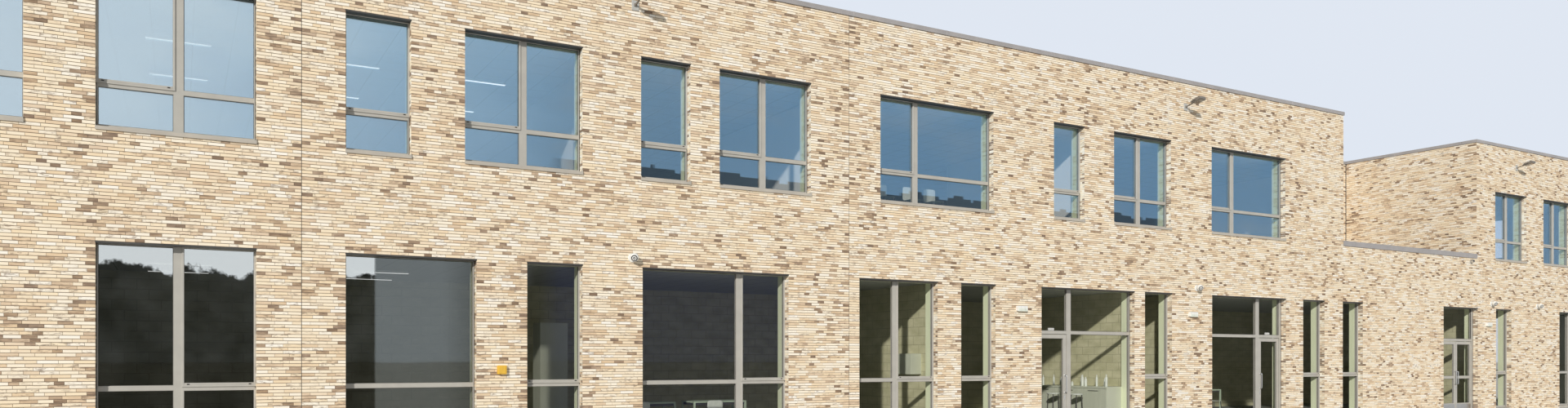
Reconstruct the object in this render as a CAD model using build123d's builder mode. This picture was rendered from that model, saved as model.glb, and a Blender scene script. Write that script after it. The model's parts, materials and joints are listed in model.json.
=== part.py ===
"""A two-storey brick school building with long window bands, as a model at half its real size.

All lengths are in millimetres of the model, so each is half the real one.
The origin is on the ground under the middle of the building. The entrance front faces -Y.
"""
from build123d import *
from collections import namedtuple
import os

os.makedirs("parts", exist_ok=True)

# Blocks along the entrance front, and the set-back of the upper storey between them
west_block_length = 16945
set_back_width = 3635
east_block_length = 4420
set_back_depth = 2175
depth = 7500
wall = 200
reveal = 75

# Heights, stacked up from the ground
floor_thickness = 40
ground_sill_rise = 10
ground_transom_rise = 570
door_transom_rise = 1115
ground_window_height = 1625
ground_ceiling_void = 250
upper_floor_thickness = 150
upper_sill_rise = 400
upper_sill_thickness = 30
upper_transom_rise = 305
upper_window_height = 1095
upper_ceiling_void = 350
roof_thickness = 150
parapet_rise = 250
coping_height = 50
low_coping_height = 75
coping_edge = 5
low_roof_build_up = 125
ceiling_thickness = 15

# Window modules: an opening of n panes is n modules wide, less one joint
pane_module = 525
pane_joint = 25
frame_width = 36
rim_width = 12
mullion_width = 64
frame_depth = 40
glass_thickness = 12
lining_thickness = 10
lintel_thickness = 12
lintel_lip = 4
sill_projection = 15
sill_drip = 8
sill_clearance = 6
sill_fall = 12
ground_sill_fall = 8
coping_overhang = 15
coping_gap = 4
ceiling_gap = 5

# Doors
running_gap = 6
leaf_thickness = 28
stile_width = 45
kick_rail = 100
middle_rail = 40
middle_rail_centre = 560
door_glass_thickness = 8
pivot_radius = 4
pivot_play = 0.3
pivot_depth = 20
pull_low = 450
pull_high = 650
pull_stand_off = 30
pull_radius = 6
pull_bend = 10

# Fittings on the entrance front
floodlight_drop = 300
floodlight_plate = (70, 90, 8)
floodlight_arm_length = 115
floodlight_arm = 14
floodlight_head = (110, 150, 36)
floodlight_tilt = 14
camera_rise = 80
camera_plate_radius = 28
camera_plate_thickness = 10
camera_neck_radius = 9
camera_ball_radius = 24
camera_reach = 62
emergency_light_size = (150, 60, 35)
emergency_light_drop = 260
exit_light_size = (90, 35, 12)
alarm_box_size = 75
alarm_box_depth = 35
alarm_box_level = 745
spout_drop = 55
spout_side = 200
spout_radius = 22
spout_reach = 60
spout_wall = 3

# Where the fittings are: the opening to their right, counted from 0, and the distance to its edge
floodlight_places = ((4, 55), (9, 505), (11, 915))
camera_places = ((3, 100), (8, 305), (12, 150), (13, 785))
emergency_light_places = ((6, 315), (8, 385), (12, 250))
alarm_box_place = (2, 220)

# Rooms seen through the glass: cross walls stand behind the piers after these openings,
# and a spine wall closes the ground-floor rooms at the back
partition_thickness = 100
partition_gap = 5
room_depth = 2600
ground_partition_after = (4, 6, 7, 11)
upper_partition_after = (3, 5, 7)
light_size = (500, 40, 20)
ground_light_lines = (1350, 2250)
upper_light_lines = (1350, 2640)
ground_lit_openings = (0, 1)
upper_lit_openings = (1, 2, 3)

# Furniture seen through the glass, in rows along the window wall
counter_height = 460
counter_depth = 300
counter_length = 1700
worktop_thickness = 20
worktop_overhang = 15
plinth_height = 50
plinth_recess = 30
tall_cabinet_size = (280, 240, 1160)
tall_cabinet_inset = 1050
wall_cabinet_size = (150, 280, 230)
wall_cabinet_inset = 230
wall_cabinet_rise = 632
table_size = (600, 300, 370)
table_top_thickness = 15
table_leg = 18
seat_size = 190
seat_rise = 215
seat_back_rise = 390
seat_shell = 8
seat_leg = 10
ground_tables = ((3, 350, 650), (3, 1150, 650), (8, 420, 700), (8, 1150, 900))
ground_seats = ((3, 250, 330), (3, 1050, 330), (8, 300, 380), (8, 560, 380), (8, 1050, 580))
upper_tables = ((6, 450, 500), (6, 1150, 500), (9, 450, 500), (10, 500, 450))
upper_table_seats = (-180, 120)
stool_radius = 85
stool_places = (350, 750, 1150)
stool_distance = 160

# Rows of openings on each face, from its left end: the widths of the piers, which share out
# the wall that the openings leave, and the panes in each light of the openings between them
front_ground_pier_widths = (
    1985, 625, 425, 565, 840, 320, 690, 180, 765, 380, 430, 2165, 560, 1640, 655,
)
front_ground_lights = (
    (1, 1), (2,), (1,), (2, 1), (1, 1), (1,), (1, 2),
    (1,), (2, 1), (1,), (1,), (1, 1), (1,), (1, 1),
)
west_upper_pier_widths = (550, 410, 625, 425, 550, 300, 845, 915, 492, 773, 1335)
west_upper_lights = ((1, 1), (1, 1), (1,), (1, 1), (1,), (1, 1), (1, 2), (1,), (1, 1), (1, 2))
east_upper_pier_widths = (575, 575, 1220)
east_upper_lights = ((1, 1), (1, 1))
back_upper_pier_widths = west_upper_pier_widths[:-1] + (1490, 750, 1780, 575, 1220)
back_upper_lights = west_upper_lights + ((1,), (1, 1)) + east_upper_lights
end_pier_widths = (1500, 725, 725, 1475)
end_lights = ((1, 1), (1, 1), (1, 1))
west_entrance_index = 6
middle_entrance_index = 8
east_entrance_index = 11

# Levels that follow from the heights
floor_top = floor_thickness
ground_sill_top = floor_top + ground_sill_rise
ground_transom = ground_sill_top + ground_transom_rise
door_transom = floor_top + door_transom_rise
ground_head = ground_sill_top + ground_window_height
upper_slab_bottom = ground_head + ground_ceiling_void
upper_floor_top = upper_slab_bottom + upper_floor_thickness
spandrel_top = upper_floor_top + upper_sill_rise
upper_sill_top = spandrel_top + upper_sill_thickness
upper_transom = upper_sill_top + upper_transom_rise
upper_head = upper_sill_top + upper_window_height
roof_slab_bottom = upper_head + upper_ceiling_void
roof_top = roof_slab_bottom + roof_thickness
parapet_top = roof_top + parapet_rise

# Lines in plan, in the part's own frame
length = west_block_length + set_back_width + east_block_length
west_line = -length / 2
east_line = length / 2
front_line = -depth / 2
back_line = depth / 2
set_back_west_line = west_line + west_block_length
set_back_east_line = set_back_west_line + set_back_width
set_back_line = front_line + set_back_depth
inside_west = west_line + wall
inside_east = east_line - wall
inside_front = front_line + wall
inside_back = back_line - wall

# Faces of the building, each seen from outside, with local X to the right and local Y up
Face = namedtuple("Face", "plane width")
Opening = namedtuple("Opening", "begin lights")
front = Face(Plane(origin=(0, front_line, 0), x_dir=(1, 0, 0), z_dir=(0, -1, 0)), length)
back = Face(Plane(origin=(0, back_line, 0), x_dir=(-1, 0, 0), z_dir=(0, 1, 0)), length)
west = Face(Plane(origin=(west_line, 0, 0), x_dir=(0, -1, 0), z_dir=(-1, 0, 0)), depth)
east = Face(Plane(origin=(east_line, 0, 0), x_dir=(0, 1, 0), z_dir=(1, 0, 0)), depth)
ends = (west, east)

pieces = {}


def opening_width(lights):
    """Width of an opening with these lights."""
    return pane_module * sum(lights) - pane_joint


def end_of(opening):
    """Where an opening stops along its face."""
    return opening.begin + opening_width(opening.lights)


def openings_between(start, end, pier_widths, lights):
    """A row of openings between piers that share out the wall left over."""
    wall_left = end - start - sum(opening_width(panes) for panes in lights)
    stretch = wall_left / sum(pier_widths)
    row = []
    place = start
    for pier_width, panes in zip(pier_widths, lights):
        place += pier_width * stretch
        row.append(Opening(place, panes))
        place += opening_width(panes)
    return row


def piers_between(row, start, end):
    """Stretches of wall left between the openings of a row."""
    edges = [start]
    for opening in row:
        edges += [opening.begin, end_of(opening)]
    edges.append(end)
    return [(edges[i], edges[i + 1]) for i in range(0, len(edges), 2)]


def opening_spans(row):
    """The stretch that each opening takes."""
    return [(opening.begin, end_of(opening)) for opening in row]


def panels(face, spans, low, high):
    """Upright rectangles on a face, one for each stretch."""
    for begin, end in spans:
        with Locations(((begin + end - face.width) / 2, (low + high) / 2)):
            Rectangle(end - begin, high - low)


def light_spans(opening, left_member, right_member):
    """The clear stretch of each light between the frame's members, given the widths of the outer two."""
    spans = []
    edge = 0
    for panes in opening.lights:
        left = opening.begin + edge * pane_module - pane_joint / 2 + mullion_width / 2
        right = opening.begin + (edge + panes) * pane_module - pane_joint / 2 - mullion_width / 2
        if edge == 0:
            left = opening.begin + left_member
        if edge + panes == sum(opening.lights):
            right = end_of(opening) - right_member
        spans.append((left, right))
        edge += panes
    return spans


def clear_rows(low, transom, high):
    """The clear heights below and above a transom."""
    half = frame_width / 2
    return ((low + rim_width, transom - half), (transom + half, high - rim_width))


def plan_panel(left, right, near, far):
    """A rectangle in plan between four lines."""
    with Locations(((left + right) / 2, (near + far) / 2)):
        Rectangle(right - left, far - near)


def section_plane(face, place):
    """A plane across a face, with local X outwards and local Y up."""
    corner = face.plane.from_local_coords((place - face.width / 2, 0, 0))
    return Plane(origin=corner, x_dir=face.plane.z_dir, z_dir=-face.plane.x_dir)


def beside(row, place):
    """A place to the left of an opening of a row, along the front."""
    index, distance = place
    return row[index].begin - distance


def behind(row, place):
    """A place in plan behind an opening of a row."""
    index, along, inwards = place
    return west_line + row[index].begin + along, inside_front + inwards


front_ground = openings_between(0, length, front_ground_pier_widths, front_ground_lights)
west_upper = openings_between(0, west_block_length, west_upper_pier_widths, west_upper_lights)
east_upper = openings_between(
    west_block_length + set_back_width,
    length,
    east_upper_pier_widths,
    east_upper_lights,
)
front_upper = west_upper + east_upper
back_ground = front_ground
back_upper = openings_between(0, length, back_upper_pier_widths, back_upper_lights)
end_windows = openings_between(0, depth, end_pier_widths, end_lights)
west_entrance = front_ground[west_entrance_index]
middle_entrance = front_ground[middle_entrance_index]
east_entrance = front_ground[east_entrance_index]
entrances = (west_entrance, middle_entrance, east_entrance)
front_ground_windows = [opening for opening in front_ground if opening not in entrances]
ground_rows = (
    (front, front_ground_windows),
    (back, back_ground),
    (west, end_windows),
    (east, end_windows),
)
upper_rows = (
    (front, front_upper),
    (back, back_upper),
    (west, end_windows),
    (east, end_windows),
)

# Floors and roofs
with BuildPart() as ground_floor_slab:
    with BuildSketch(Plane.XY):
        plan_panel(inside_west, inside_east, inside_front, inside_back)
    extrude(amount=floor_thickness)
pieces["ground_floor_slab"] = ground_floor_slab

with BuildPart() as upper_floor_slab:
    with BuildSketch(Plane.XY.offset(upper_slab_bottom)):
        plan_panel(inside_west, inside_east, inside_front, inside_back)
    extrude(amount=upper_floor_thickness)
pieces["upper_floor_slab"] = upper_floor_slab

with BuildPart() as low_roof_deck:
    with BuildSketch(Plane.XY.offset(upper_floor_top)):
        plan_panel(set_back_west_line, set_back_east_line, inside_front, set_back_line)
    extrude(amount=low_roof_build_up)
pieces["low_roof_deck"] = low_roof_deck

roof_plans = {
    "west_roof_slab": (inside_west, set_back_west_line - wall, inside_front, inside_back),
    "link_roof_slab": (
        set_back_west_line - wall,
        set_back_east_line + wall,
        set_back_line + wall,
        inside_back,
    ),
    "east_roof_slab": (set_back_east_line + wall, inside_east, inside_front, inside_back),
}
for name, plan in roof_plans.items():
    with BuildPart() as roof_slab:
        with BuildSketch(Plane.XY.offset(roof_slab_bottom)):
            plan_panel(*plan)
        extrude(amount=roof_thickness)
    pieces[name] = roof_slab

# Ceilings hang at the window heads, in sheets with open joints
with BuildPart() as ground_ceiling:
    with BuildSketch(Plane.XY.offset(ground_head)):
        plan_panel(inside_west, inside_east, inside_front, inside_back)
    extrude(amount=ceiling_thickness)
pieces["ground_ceiling"] = ground_ceiling

with BuildPart() as upper_ceiling:
    with BuildSketch(Plane.XY.offset(upper_head)):
        plan_panel(
            inside_west,
            set_back_west_line - wall - ceiling_gap,
            inside_front,
            inside_back,
        )
        plan_panel(
            set_back_west_line - wall,
            set_back_east_line + wall,
            set_back_line + wall,
            inside_back,
        )
        plan_panel(
            set_back_east_line + wall + ceiling_gap,
            inside_east,
            inside_front,
            inside_back,
        )
    extrude(amount=ceiling_thickness)
pieces["upper_ceiling"] = upper_ceiling

# Long walls: piers between the openings, with a band over each storey
with BuildPart() as front_ground_piers:
    with BuildSketch(front.plane):
        panels(front, piers_between(front_ground, 0, length), 0, ground_head)
    extrude(amount=-wall)
pieces["front_ground_piers"] = front_ground_piers

with BuildPart() as front_spandrel:
    with BuildSketch(front.plane):
        panels(front, [(0, length)], ground_head, spandrel_top)
    extrude(amount=-wall)
pieces["front_spandrel"] = front_spandrel

east_block_begin = west_block_length + set_back_width
with BuildPart() as front_upper_piers:
    with BuildSketch(front.plane):
        panels(front, piers_between(west_upper, 0, west_block_length), spandrel_top, upper_head)
        panels(front, piers_between(east_upper, east_block_begin, length), spandrel_top, upper_head)
    extrude(amount=-wall)
pieces["front_upper_piers"] = front_upper_piers

with BuildPart() as front_parapets:
    with BuildSketch(front.plane):
        panels(front, [(0, west_block_length), (east_block_begin, length)], upper_head, parapet_top)
    extrude(amount=-wall)
pieces["front_parapets"] = front_parapets

with BuildPart() as back_ground_piers:
    with BuildSketch(back.plane):
        panels(back, piers_between(back_ground, 0, length), 0, ground_head)
    extrude(amount=-wall)
pieces["back_ground_piers"] = back_ground_piers

with BuildPart() as back_spandrel:
    with BuildSketch(back.plane):
        panels(back, [(0, length)], ground_head, spandrel_top)
    extrude(amount=-wall)
pieces["back_spandrel"] = back_spandrel

with BuildPart() as back_upper_piers:
    with BuildSketch(back.plane):
        panels(back, piers_between(back_upper, 0, length), spandrel_top, upper_head)
    extrude(amount=-wall)
pieces["back_upper_piers"] = back_upper_piers

with BuildPart() as back_parapet:
    with BuildSketch(back.plane):
        panels(back, [(0, length)], upper_head, parapet_top)
    extrude(amount=-wall)
pieces["back_parapet"] = back_parapet

# End walls stand between the long walls
end_start = wall
end_stop = depth - wall
end_piers = piers_between(end_windows, end_start, end_stop)
end_bands = {
    "end_ground_piers": (end_piers, 0, ground_head),
    "end_spandrels": ([(end_start, end_stop)], ground_head, spandrel_top),
    "end_upper_piers": (end_piers, spandrel_top, upper_head),
    "end_parapets": ([(end_start, end_stop)], upper_head, parapet_top),
}
for name, (spans, low, high) in end_bands.items():
    with BuildPart() as end_band:
        for face in ends:
            with BuildSketch(face.plane):
                panels(face, spans, low, high)
            extrude(amount=-wall)
    pieces[name] = end_band

# Walls round the set-back of the upper storey
set_back_far_line = set_back_line + wall
set_back_plans = {
    "set_back_west_wall": (
        set_back_west_line - wall,
        set_back_west_line,
        inside_front,
        set_back_far_line,
    ),
    "set_back_rear_wall": (
        set_back_west_line,
        set_back_east_line,
        set_back_line,
        set_back_far_line,
    ),
    "set_back_east_wall": (
        set_back_east_line,
        set_back_east_line + wall,
        inside_front,
        set_back_far_line,
    ),
}
for name, plan in set_back_plans.items():
    with BuildPart() as set_back_wall:
        with BuildSketch(Plane.XY.offset(upper_floor_top)):
            plan_panel(*plan)
        extrude(amount=parapet_top - upper_floor_top)
    pieces[name] = set_back_wall

# Copings cap the parapets, one length to each straight run
over = coping_overhang
cross_near = inside_front + over + coping_gap
cross_far = inside_back - over - coping_gap
coping_plans = (
    (west_line - over, set_back_west_line + over, front_line - over, inside_front + over),
    (set_back_east_line - over, east_line + over, front_line - over, inside_front + over),
    (west_line - over, east_line + over, inside_back - over, back_line + over),
    (west_line - over, inside_west + over, cross_near, cross_far),
    (inside_east - over, east_line + over, cross_near, cross_far),
    (
        set_back_west_line - wall - over,
        set_back_west_line + over,
        cross_near,
        set_back_far_line + over,
    ),
    (
        set_back_east_line - over,
        set_back_east_line + wall + over,
        cross_near,
        set_back_far_line + over,
    ),
    (
        set_back_west_line + over + coping_gap,
        set_back_east_line - over - coping_gap,
        set_back_line - over,
        set_back_far_line + over,
    ),
)
with BuildPart() as parapet_coping:
    with BuildSketch(Plane.XY.offset(parapet_top)):
        for plan in coping_plans:
            plan_panel(*plan)
    extrude(amount=coping_height)
    chamfer(parapet_coping.edges().group_by(Axis.Z)[-1], coping_edge)
pieces["parapet_coping"] = parapet_coping

with BuildPart() as low_coping:
    with BuildSketch(Plane.XY.offset(spandrel_top)):
        plan_panel(
            set_back_west_line,
            set_back_east_line,
            front_line - over,
            inside_front + over,
        )
    extrude(amount=low_coping_height)
    chamfer(low_coping.edges().group_by(Axis.Z)[-1].filter_by(Axis.X), coping_edge)
pieces["low_coping"] = low_coping

# Sills run through the wall with a fall outside the frame, and the upper ones end in a drip
ground_sill_section = (
    (-wall, 0),
    (0, 0),
    (0, ground_sill_top - ground_sill_fall),
    (-reveal, ground_sill_top),
    (-wall, ground_sill_top),
)
upper_sill_section = (
    (-wall, spandrel_top),
    (sill_clearance, spandrel_top),
    (sill_clearance, spandrel_top - sill_drip),
    (sill_projection, spandrel_top - sill_drip),
    (sill_projection, upper_sill_top - sill_fall),
    (-reveal, upper_sill_top),
    (-wall, upper_sill_top),
)
for name, rows, section in (
    ("ground_sills", ground_rows, ground_sill_section),
    ("upper_sills", upper_rows, upper_sill_section),
):
    with BuildPart() as sills:
        for face, row in rows:
            for opening in row:
                with BuildSketch(section_plane(face, end_of(opening))):
                    with BuildLine():
                        Polyline(*section, close=True)
                    make_face()
                extrude(amount=opening_width(opening.lights))
    pieces[name] = sills

# Lintel plates line the heads of the reveals, and boards line the openings inside
linings = [
    (face, row, low, head)
    for rows, low, head in (
        (ground_rows, ground_sill_top, ground_head),
        (upper_rows, upper_sill_top, upper_head),
        (((front, entrances),), floor_top, ground_head),
    )
    for face, row in rows
]
with BuildPart() as window_lintels:
    for face, row, low, head in linings:
        with BuildSketch(face.plane.offset(lintel_lip)):
            panels(face, opening_spans(row), head - lintel_thickness, head)
        extrude(amount=-reveal - lintel_lip)
pieces["window_lintels"] = window_lintels

with BuildPart() as window_linings:
    for face, row, low, head in linings:
        board_top = low + lining_thickness
        if row is entrances:
            board_top = low
        with BuildSketch(face.plane.offset(-reveal - frame_depth)):
            panels(face, opening_spans(row), low, head)
            for opening in row:
                left = opening.begin + lining_thickness
                right = end_of(opening) - lining_thickness
                centre = (left + right - face.width) / 2
                top = head - lining_thickness
                with Locations((centre, (board_top + top) / 2)):
                    Rectangle(right - left, top - board_top, mode=Mode.SUBTRACT)
        extrude(amount=-(wall - reveal - frame_depth))
pieces["window_linings"] = window_linings

# Window frames, one to each opening, and the panes that they hold
storeys = (
    ("ground", ground_rows, ground_sill_top, ground_transom, ground_head),
    ("upper", upper_rows, upper_sill_top, upper_transom, upper_head),
)
glass_inset = (frame_depth - glass_thickness) / 2
for storey, rows, low, transom, high in storeys:
    with BuildPart() as window_frames:
        for face, row in rows:
            with BuildSketch(face.plane.offset(-reveal)):
                panels(face, opening_spans(row), low, high)
                for opening in row:
                    for bottom, top in clear_rows(low, transom, high):
                        for left, right in light_spans(opening, rim_width, rim_width):
                            with Locations(((left + right - face.width) / 2, (bottom + top) / 2)):
                                Rectangle(right - left, top - bottom, mode=Mode.SUBTRACT)
            extrude(amount=-frame_depth)
    pieces[f"{storey}_window_frames"] = window_frames

    with BuildPart() as window_glass:
        for face, row in rows:
            with BuildSketch(face.plane.offset(-reveal - glass_inset)):
                for opening in row:
                    lights = light_spans(opening, rim_width, rim_width)
                    for bottom, top in clear_rows(low, transom, high):
                        panels(face, lights, bottom, top)
            extrude(amount=-glass_thickness)
    pieces[f"{storey}_window_glass"] = window_glass

# Entrance screens: posts from the threshold to the head, with rails between them
half_frame = frame_width / 2
entrance_plane = front.plane.offset(-reveal)
door_lights = {west_entrance: (0,), middle_entrance: (1,)}
entrance_spans = {
    west_entrance: light_spans(west_entrance, frame_width, rim_width),
    middle_entrance: light_spans(middle_entrance, rim_width, frame_width),
    east_entrance: [(east_entrance.begin + frame_width, end_of(east_entrance) - frame_width)],
}
door_head = door_transom - half_frame

with BuildPart() as thresholds:
    with BuildSketch(front.plane):
        panels(front, opening_spans(entrances), 0, floor_top)
    extrude(amount=-wall)
pieces["thresholds"] = thresholds

post_spans = []
rail_spans = []
pane_spans = []
for entrance in entrances:
    clear_spans = entrance_spans[entrance]
    edges = [entrance.begin] + [edge for span in clear_spans for edge in span] + [end_of(entrance)]
    post_spans += [(edges[i], edges[i + 1]) for i in range(0, len(edges), 2)]
    rail_spans += clear_spans
    for index, span in enumerate(clear_spans):
        pane_spans.append((span, door_transom + half_frame, ground_head - rim_width))
        if entrance is not east_entrance and index not in door_lights[entrance]:
            pane_spans.append((span, floor_top + frame_width, door_head))
fixed_spans = [span for span, low, high in pane_spans if low < door_transom]

with BuildPart() as entrance_posts:
    with BuildSketch(entrance_plane):
        panels(front, post_spans, floor_top, ground_head)
    extrude(amount=-frame_depth)
pieces["entrance_posts"] = entrance_posts

with BuildPart() as entrance_rails:
    with BuildSketch(entrance_plane):
        panels(front, rail_spans, ground_head - rim_width, ground_head)
        panels(front, rail_spans, door_head, door_transom + half_frame)
        panels(front, fixed_spans, floor_top, floor_top + frame_width)
    extrude(amount=-frame_depth)
pieces["entrance_rails"] = entrance_rails

with BuildPart() as entrance_glass:
    with BuildSketch(entrance_plane.offset(-glass_inset)):
        for span, low, high in pane_spans:
            panels(front, [span], low, high)
    extrude(amount=-glass_thickness)
pieces["entrance_glass"] = entrance_glass

# Door leaves turn on floor and head pivots, and each has a round heel on its pivot line
Door = namedtuple("Door", "name left right hinge_left middle_rail")
west_span = entrance_spans[west_entrance][0]
middle_span = entrance_spans[middle_entrance][1]
east_left, east_right = entrance_spans[east_entrance][0]
east_middle = (east_left + east_right) / 2
doors = (
    Door("west_door", west_span[0] + running_gap, west_span[1] - running_gap, True, False),
    Door("middle_door", middle_span[0] + running_gap, middle_span[1] - running_gap, False, False),
    Door("east_left_door", east_left + running_gap, east_middle - running_gap / 2, True, True),
    Door("east_right_door", east_middle + running_gap / 2, east_right - running_gap, False, True),
)
leaf_line = front_line + reveal + frame_depth / 2
leaf_bottom = floor_top + running_gap
leaf_top = door_head - running_gap
heel_radius = leaf_thickness / 2
leaf_plane = front.plane.offset(-reveal - frame_depth / 2)
pivot_lines = []

for door in doors:
    heel = door.left + heel_radius if door.hinge_left else door.right - heel_radius
    square_left = heel if door.hinge_left else door.left
    square_right = door.right if door.hinge_left else heel
    pivot_x = west_line + heel
    pivot_lines.append(pivot_x)
    pane_bottom = leaf_bottom + kick_rail
    pane_top = leaf_top - stile_width
    if door.middle_rail:
        half_rail = middle_rail / 2
        pane_rows = (
            (pane_bottom, middle_rail_centre - half_rail),
            (middle_rail_centre + half_rail, pane_top),
        )
    else:
        pane_rows = ((pane_bottom, pane_top),)
    pane_span = (door.left + stile_width, door.right - stile_width)

    with BuildPart() as leaf:
        with BuildSketch(Plane.XY.offset(leaf_bottom)):
            plan_panel(
                west_line + square_left,
                west_line + square_right,
                leaf_line - heel_radius,
                leaf_line + heel_radius,
            )
            with Locations((pivot_x, leaf_line)):
                Circle(heel_radius)
        extrude(amount=leaf_top - leaf_bottom)
        with BuildSketch(leaf_plane):
            for low, high in pane_rows:
                panels(front, [pane_span], low, high)
        extrude(amount=leaf_thickness, both=True, mode=Mode.SUBTRACT)
        with Locations(
            (pivot_x, leaf_line, leaf_bottom + pivot_depth / 2),
            (pivot_x, leaf_line, leaf_top - pivot_depth / 2),
        ):
            Cylinder(pivot_radius + pivot_play, pivot_depth, mode=Mode.SUBTRACT)
    pieces[f"{door.name}_leaf"] = leaf

    with BuildPart() as door_glass:
        with BuildSketch(leaf_plane):
            for low, high in pane_rows:
                panels(front, [pane_span], low, high)
        extrude(amount=door_glass_thickness / 2, both=True)
    pieces[f"{door.name}_glass"] = door_glass

    pull_place = door.right - stile_width / 2 if door.hinge_left else door.left + stile_width / 2
    pull_x = west_line + pull_place
    leaf_face = leaf_line - heel_radius
    with BuildPart() as pull:
        with BuildLine() as pull_path:
            FilletPolyline(
                (pull_x, leaf_face, pull_low),
                (pull_x, leaf_face - pull_stand_off, pull_low),
                (pull_x, leaf_face - pull_stand_off, pull_high),
                (pull_x, leaf_face, pull_high),
                radius=pull_bend,
            )
        with BuildSketch(Plane(origin=(pull_x, leaf_face, pull_low), z_dir=(0, -1, 0))):
            Circle(pull_radius)
        sweep(path=pull_path.line)
    pieces[f"{door.name}_pull"] = pull

with BuildPart() as door_pivots:
    pin_length = pivot_depth + running_gap - pivot_play
    with BuildSketch(Plane.XY.offset(floor_top)):
        for pivot_x in pivot_lines:
            with Locations((pivot_x, leaf_line)):
                Circle(pivot_radius)
    extrude(amount=pin_length)
    with BuildSketch(Plane.XY.offset(door_head)):
        for pivot_x in pivot_lines:
            with Locations((pivot_x, leaf_line)):
                Circle(pivot_radius)
    extrude(amount=-pin_length)
pieces["door_pivots"] = door_pivots

# Cross walls and ceiling lights
ground_partitions = [
    (end_of(front_ground[index]) + front_ground[index + 1].begin) / 2
    for index in ground_partition_after
]
upper_partitions = [
    (end_of(west_upper[index]) + west_upper[index + 1].begin) / 2
    for index in upper_partition_after
]
half_partition = partition_thickness / 2
with BuildPart() as partitions:
    for places, low, high in (
        (ground_partitions, floor_top, ground_head),
        (upper_partitions, upper_floor_top, upper_head),
    ):
        with BuildSketch(Plane.XY.offset(low)):
            for place in places:
                plan_panel(
                    west_line + place - half_partition,
                    west_line + place + half_partition,
                    inside_front,
                    inside_front + room_depth - partition_gap,
                )
        extrude(amount=high - low)
    spine_line = inside_front + room_depth
    with BuildSketch(Plane.XY.offset(floor_top)):
        plan_panel(inside_west, inside_east, spine_line, spine_line + partition_thickness)
    extrude(amount=ground_head - floor_top)
pieces["partitions"] = partitions

with BuildPart() as ceiling_lights:
    for level, row, lit, lines in (
        (ground_head, front_ground, ground_lit_openings, ground_light_lines),
        (upper_head, front_upper, upper_lit_openings, upper_light_lines),
    ):
        with BuildSketch(Plane.XY.offset(level)):
            for index in lit:
                middle = (row[index].begin + end_of(row[index])) / 2
                for line in lines:
                    with Locations((west_line + middle, inside_front + line)):
                        Rectangle(light_size[0], light_size[1])
        extrude(amount=-light_size[2])
pieces["ceiling_lights"] = ceiling_lights

# Kitchen counter along the cross wall by the west entrance, and two cabinets
counter_wall = west_line + ground_partitions[1] - half_partition
counter_front = counter_wall - counter_depth
worktop_bottom = floor_top + counter_height - worktop_thickness
cabinet_wall = west_line + ground_partitions[0] - half_partition
tall_cabinet_left = west_line + end_of(front_ground[2])
with BuildPart() as kitchen_units:
    with BuildSketch(Plane.XZ.offset(-inside_front)):
        with BuildLine():
            Polyline(
                (counter_wall, floor_top),
                (counter_front + plinth_recess, floor_top),
                (counter_front + plinth_recess, floor_top + plinth_height),
                (counter_front, floor_top + plinth_height),
                (counter_front, worktop_bottom),
                (counter_front - worktop_overhang, worktop_bottom),
                (counter_front - worktop_overhang, floor_top + counter_height),
                (counter_wall, floor_top + counter_height),
                close=True,
            )
        make_face()
    extrude(amount=-counter_length)
    with BuildSketch(Plane.XY.offset(floor_top)):
        plan_panel(
            tall_cabinet_left,
            tall_cabinet_left + tall_cabinet_size[0],
            inside_front + tall_cabinet_inset,
            inside_front + tall_cabinet_inset + tall_cabinet_size[1],
        )
    extrude(amount=tall_cabinet_size[2])
    with BuildSketch(Plane.XY.offset(floor_top + wall_cabinet_rise)):
        plan_panel(
            cabinet_wall - wall_cabinet_size[0],
            cabinet_wall,
            inside_front + wall_cabinet_inset,
            inside_front + wall_cabinet_inset + wall_cabinet_size[1],
        )
    extrude(amount=wall_cabinet_size[2])
pieces["kitchen_units"] = kitchen_units

# Tables, with a leg at each corner
table_length, table_width, table_height = table_size
with BuildPart() as tables:
    for level, row, places in (
        (floor_top, front_ground, ground_tables),
        (upper_floor_top, front_upper, upper_tables),
    ):
        centres = [behind(row, place) for place in places]
        with BuildSketch(Plane.XY.offset(level)):
            for centre in centres:
                with Locations(centre):
                    with GridLocations(table_length - table_leg, table_width - table_leg, 2, 2):
                        Rectangle(table_leg, table_leg)
        extrude(amount=table_height - table_top_thickness)
        with BuildSketch(Plane.XY.offset(level + table_height - table_top_thickness)):
            for centre in centres:
                with Locations(centre):
                    Rectangle(table_length, table_width)
        extrude(amount=table_top_thickness)
pieces["tables"] = tables

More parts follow.
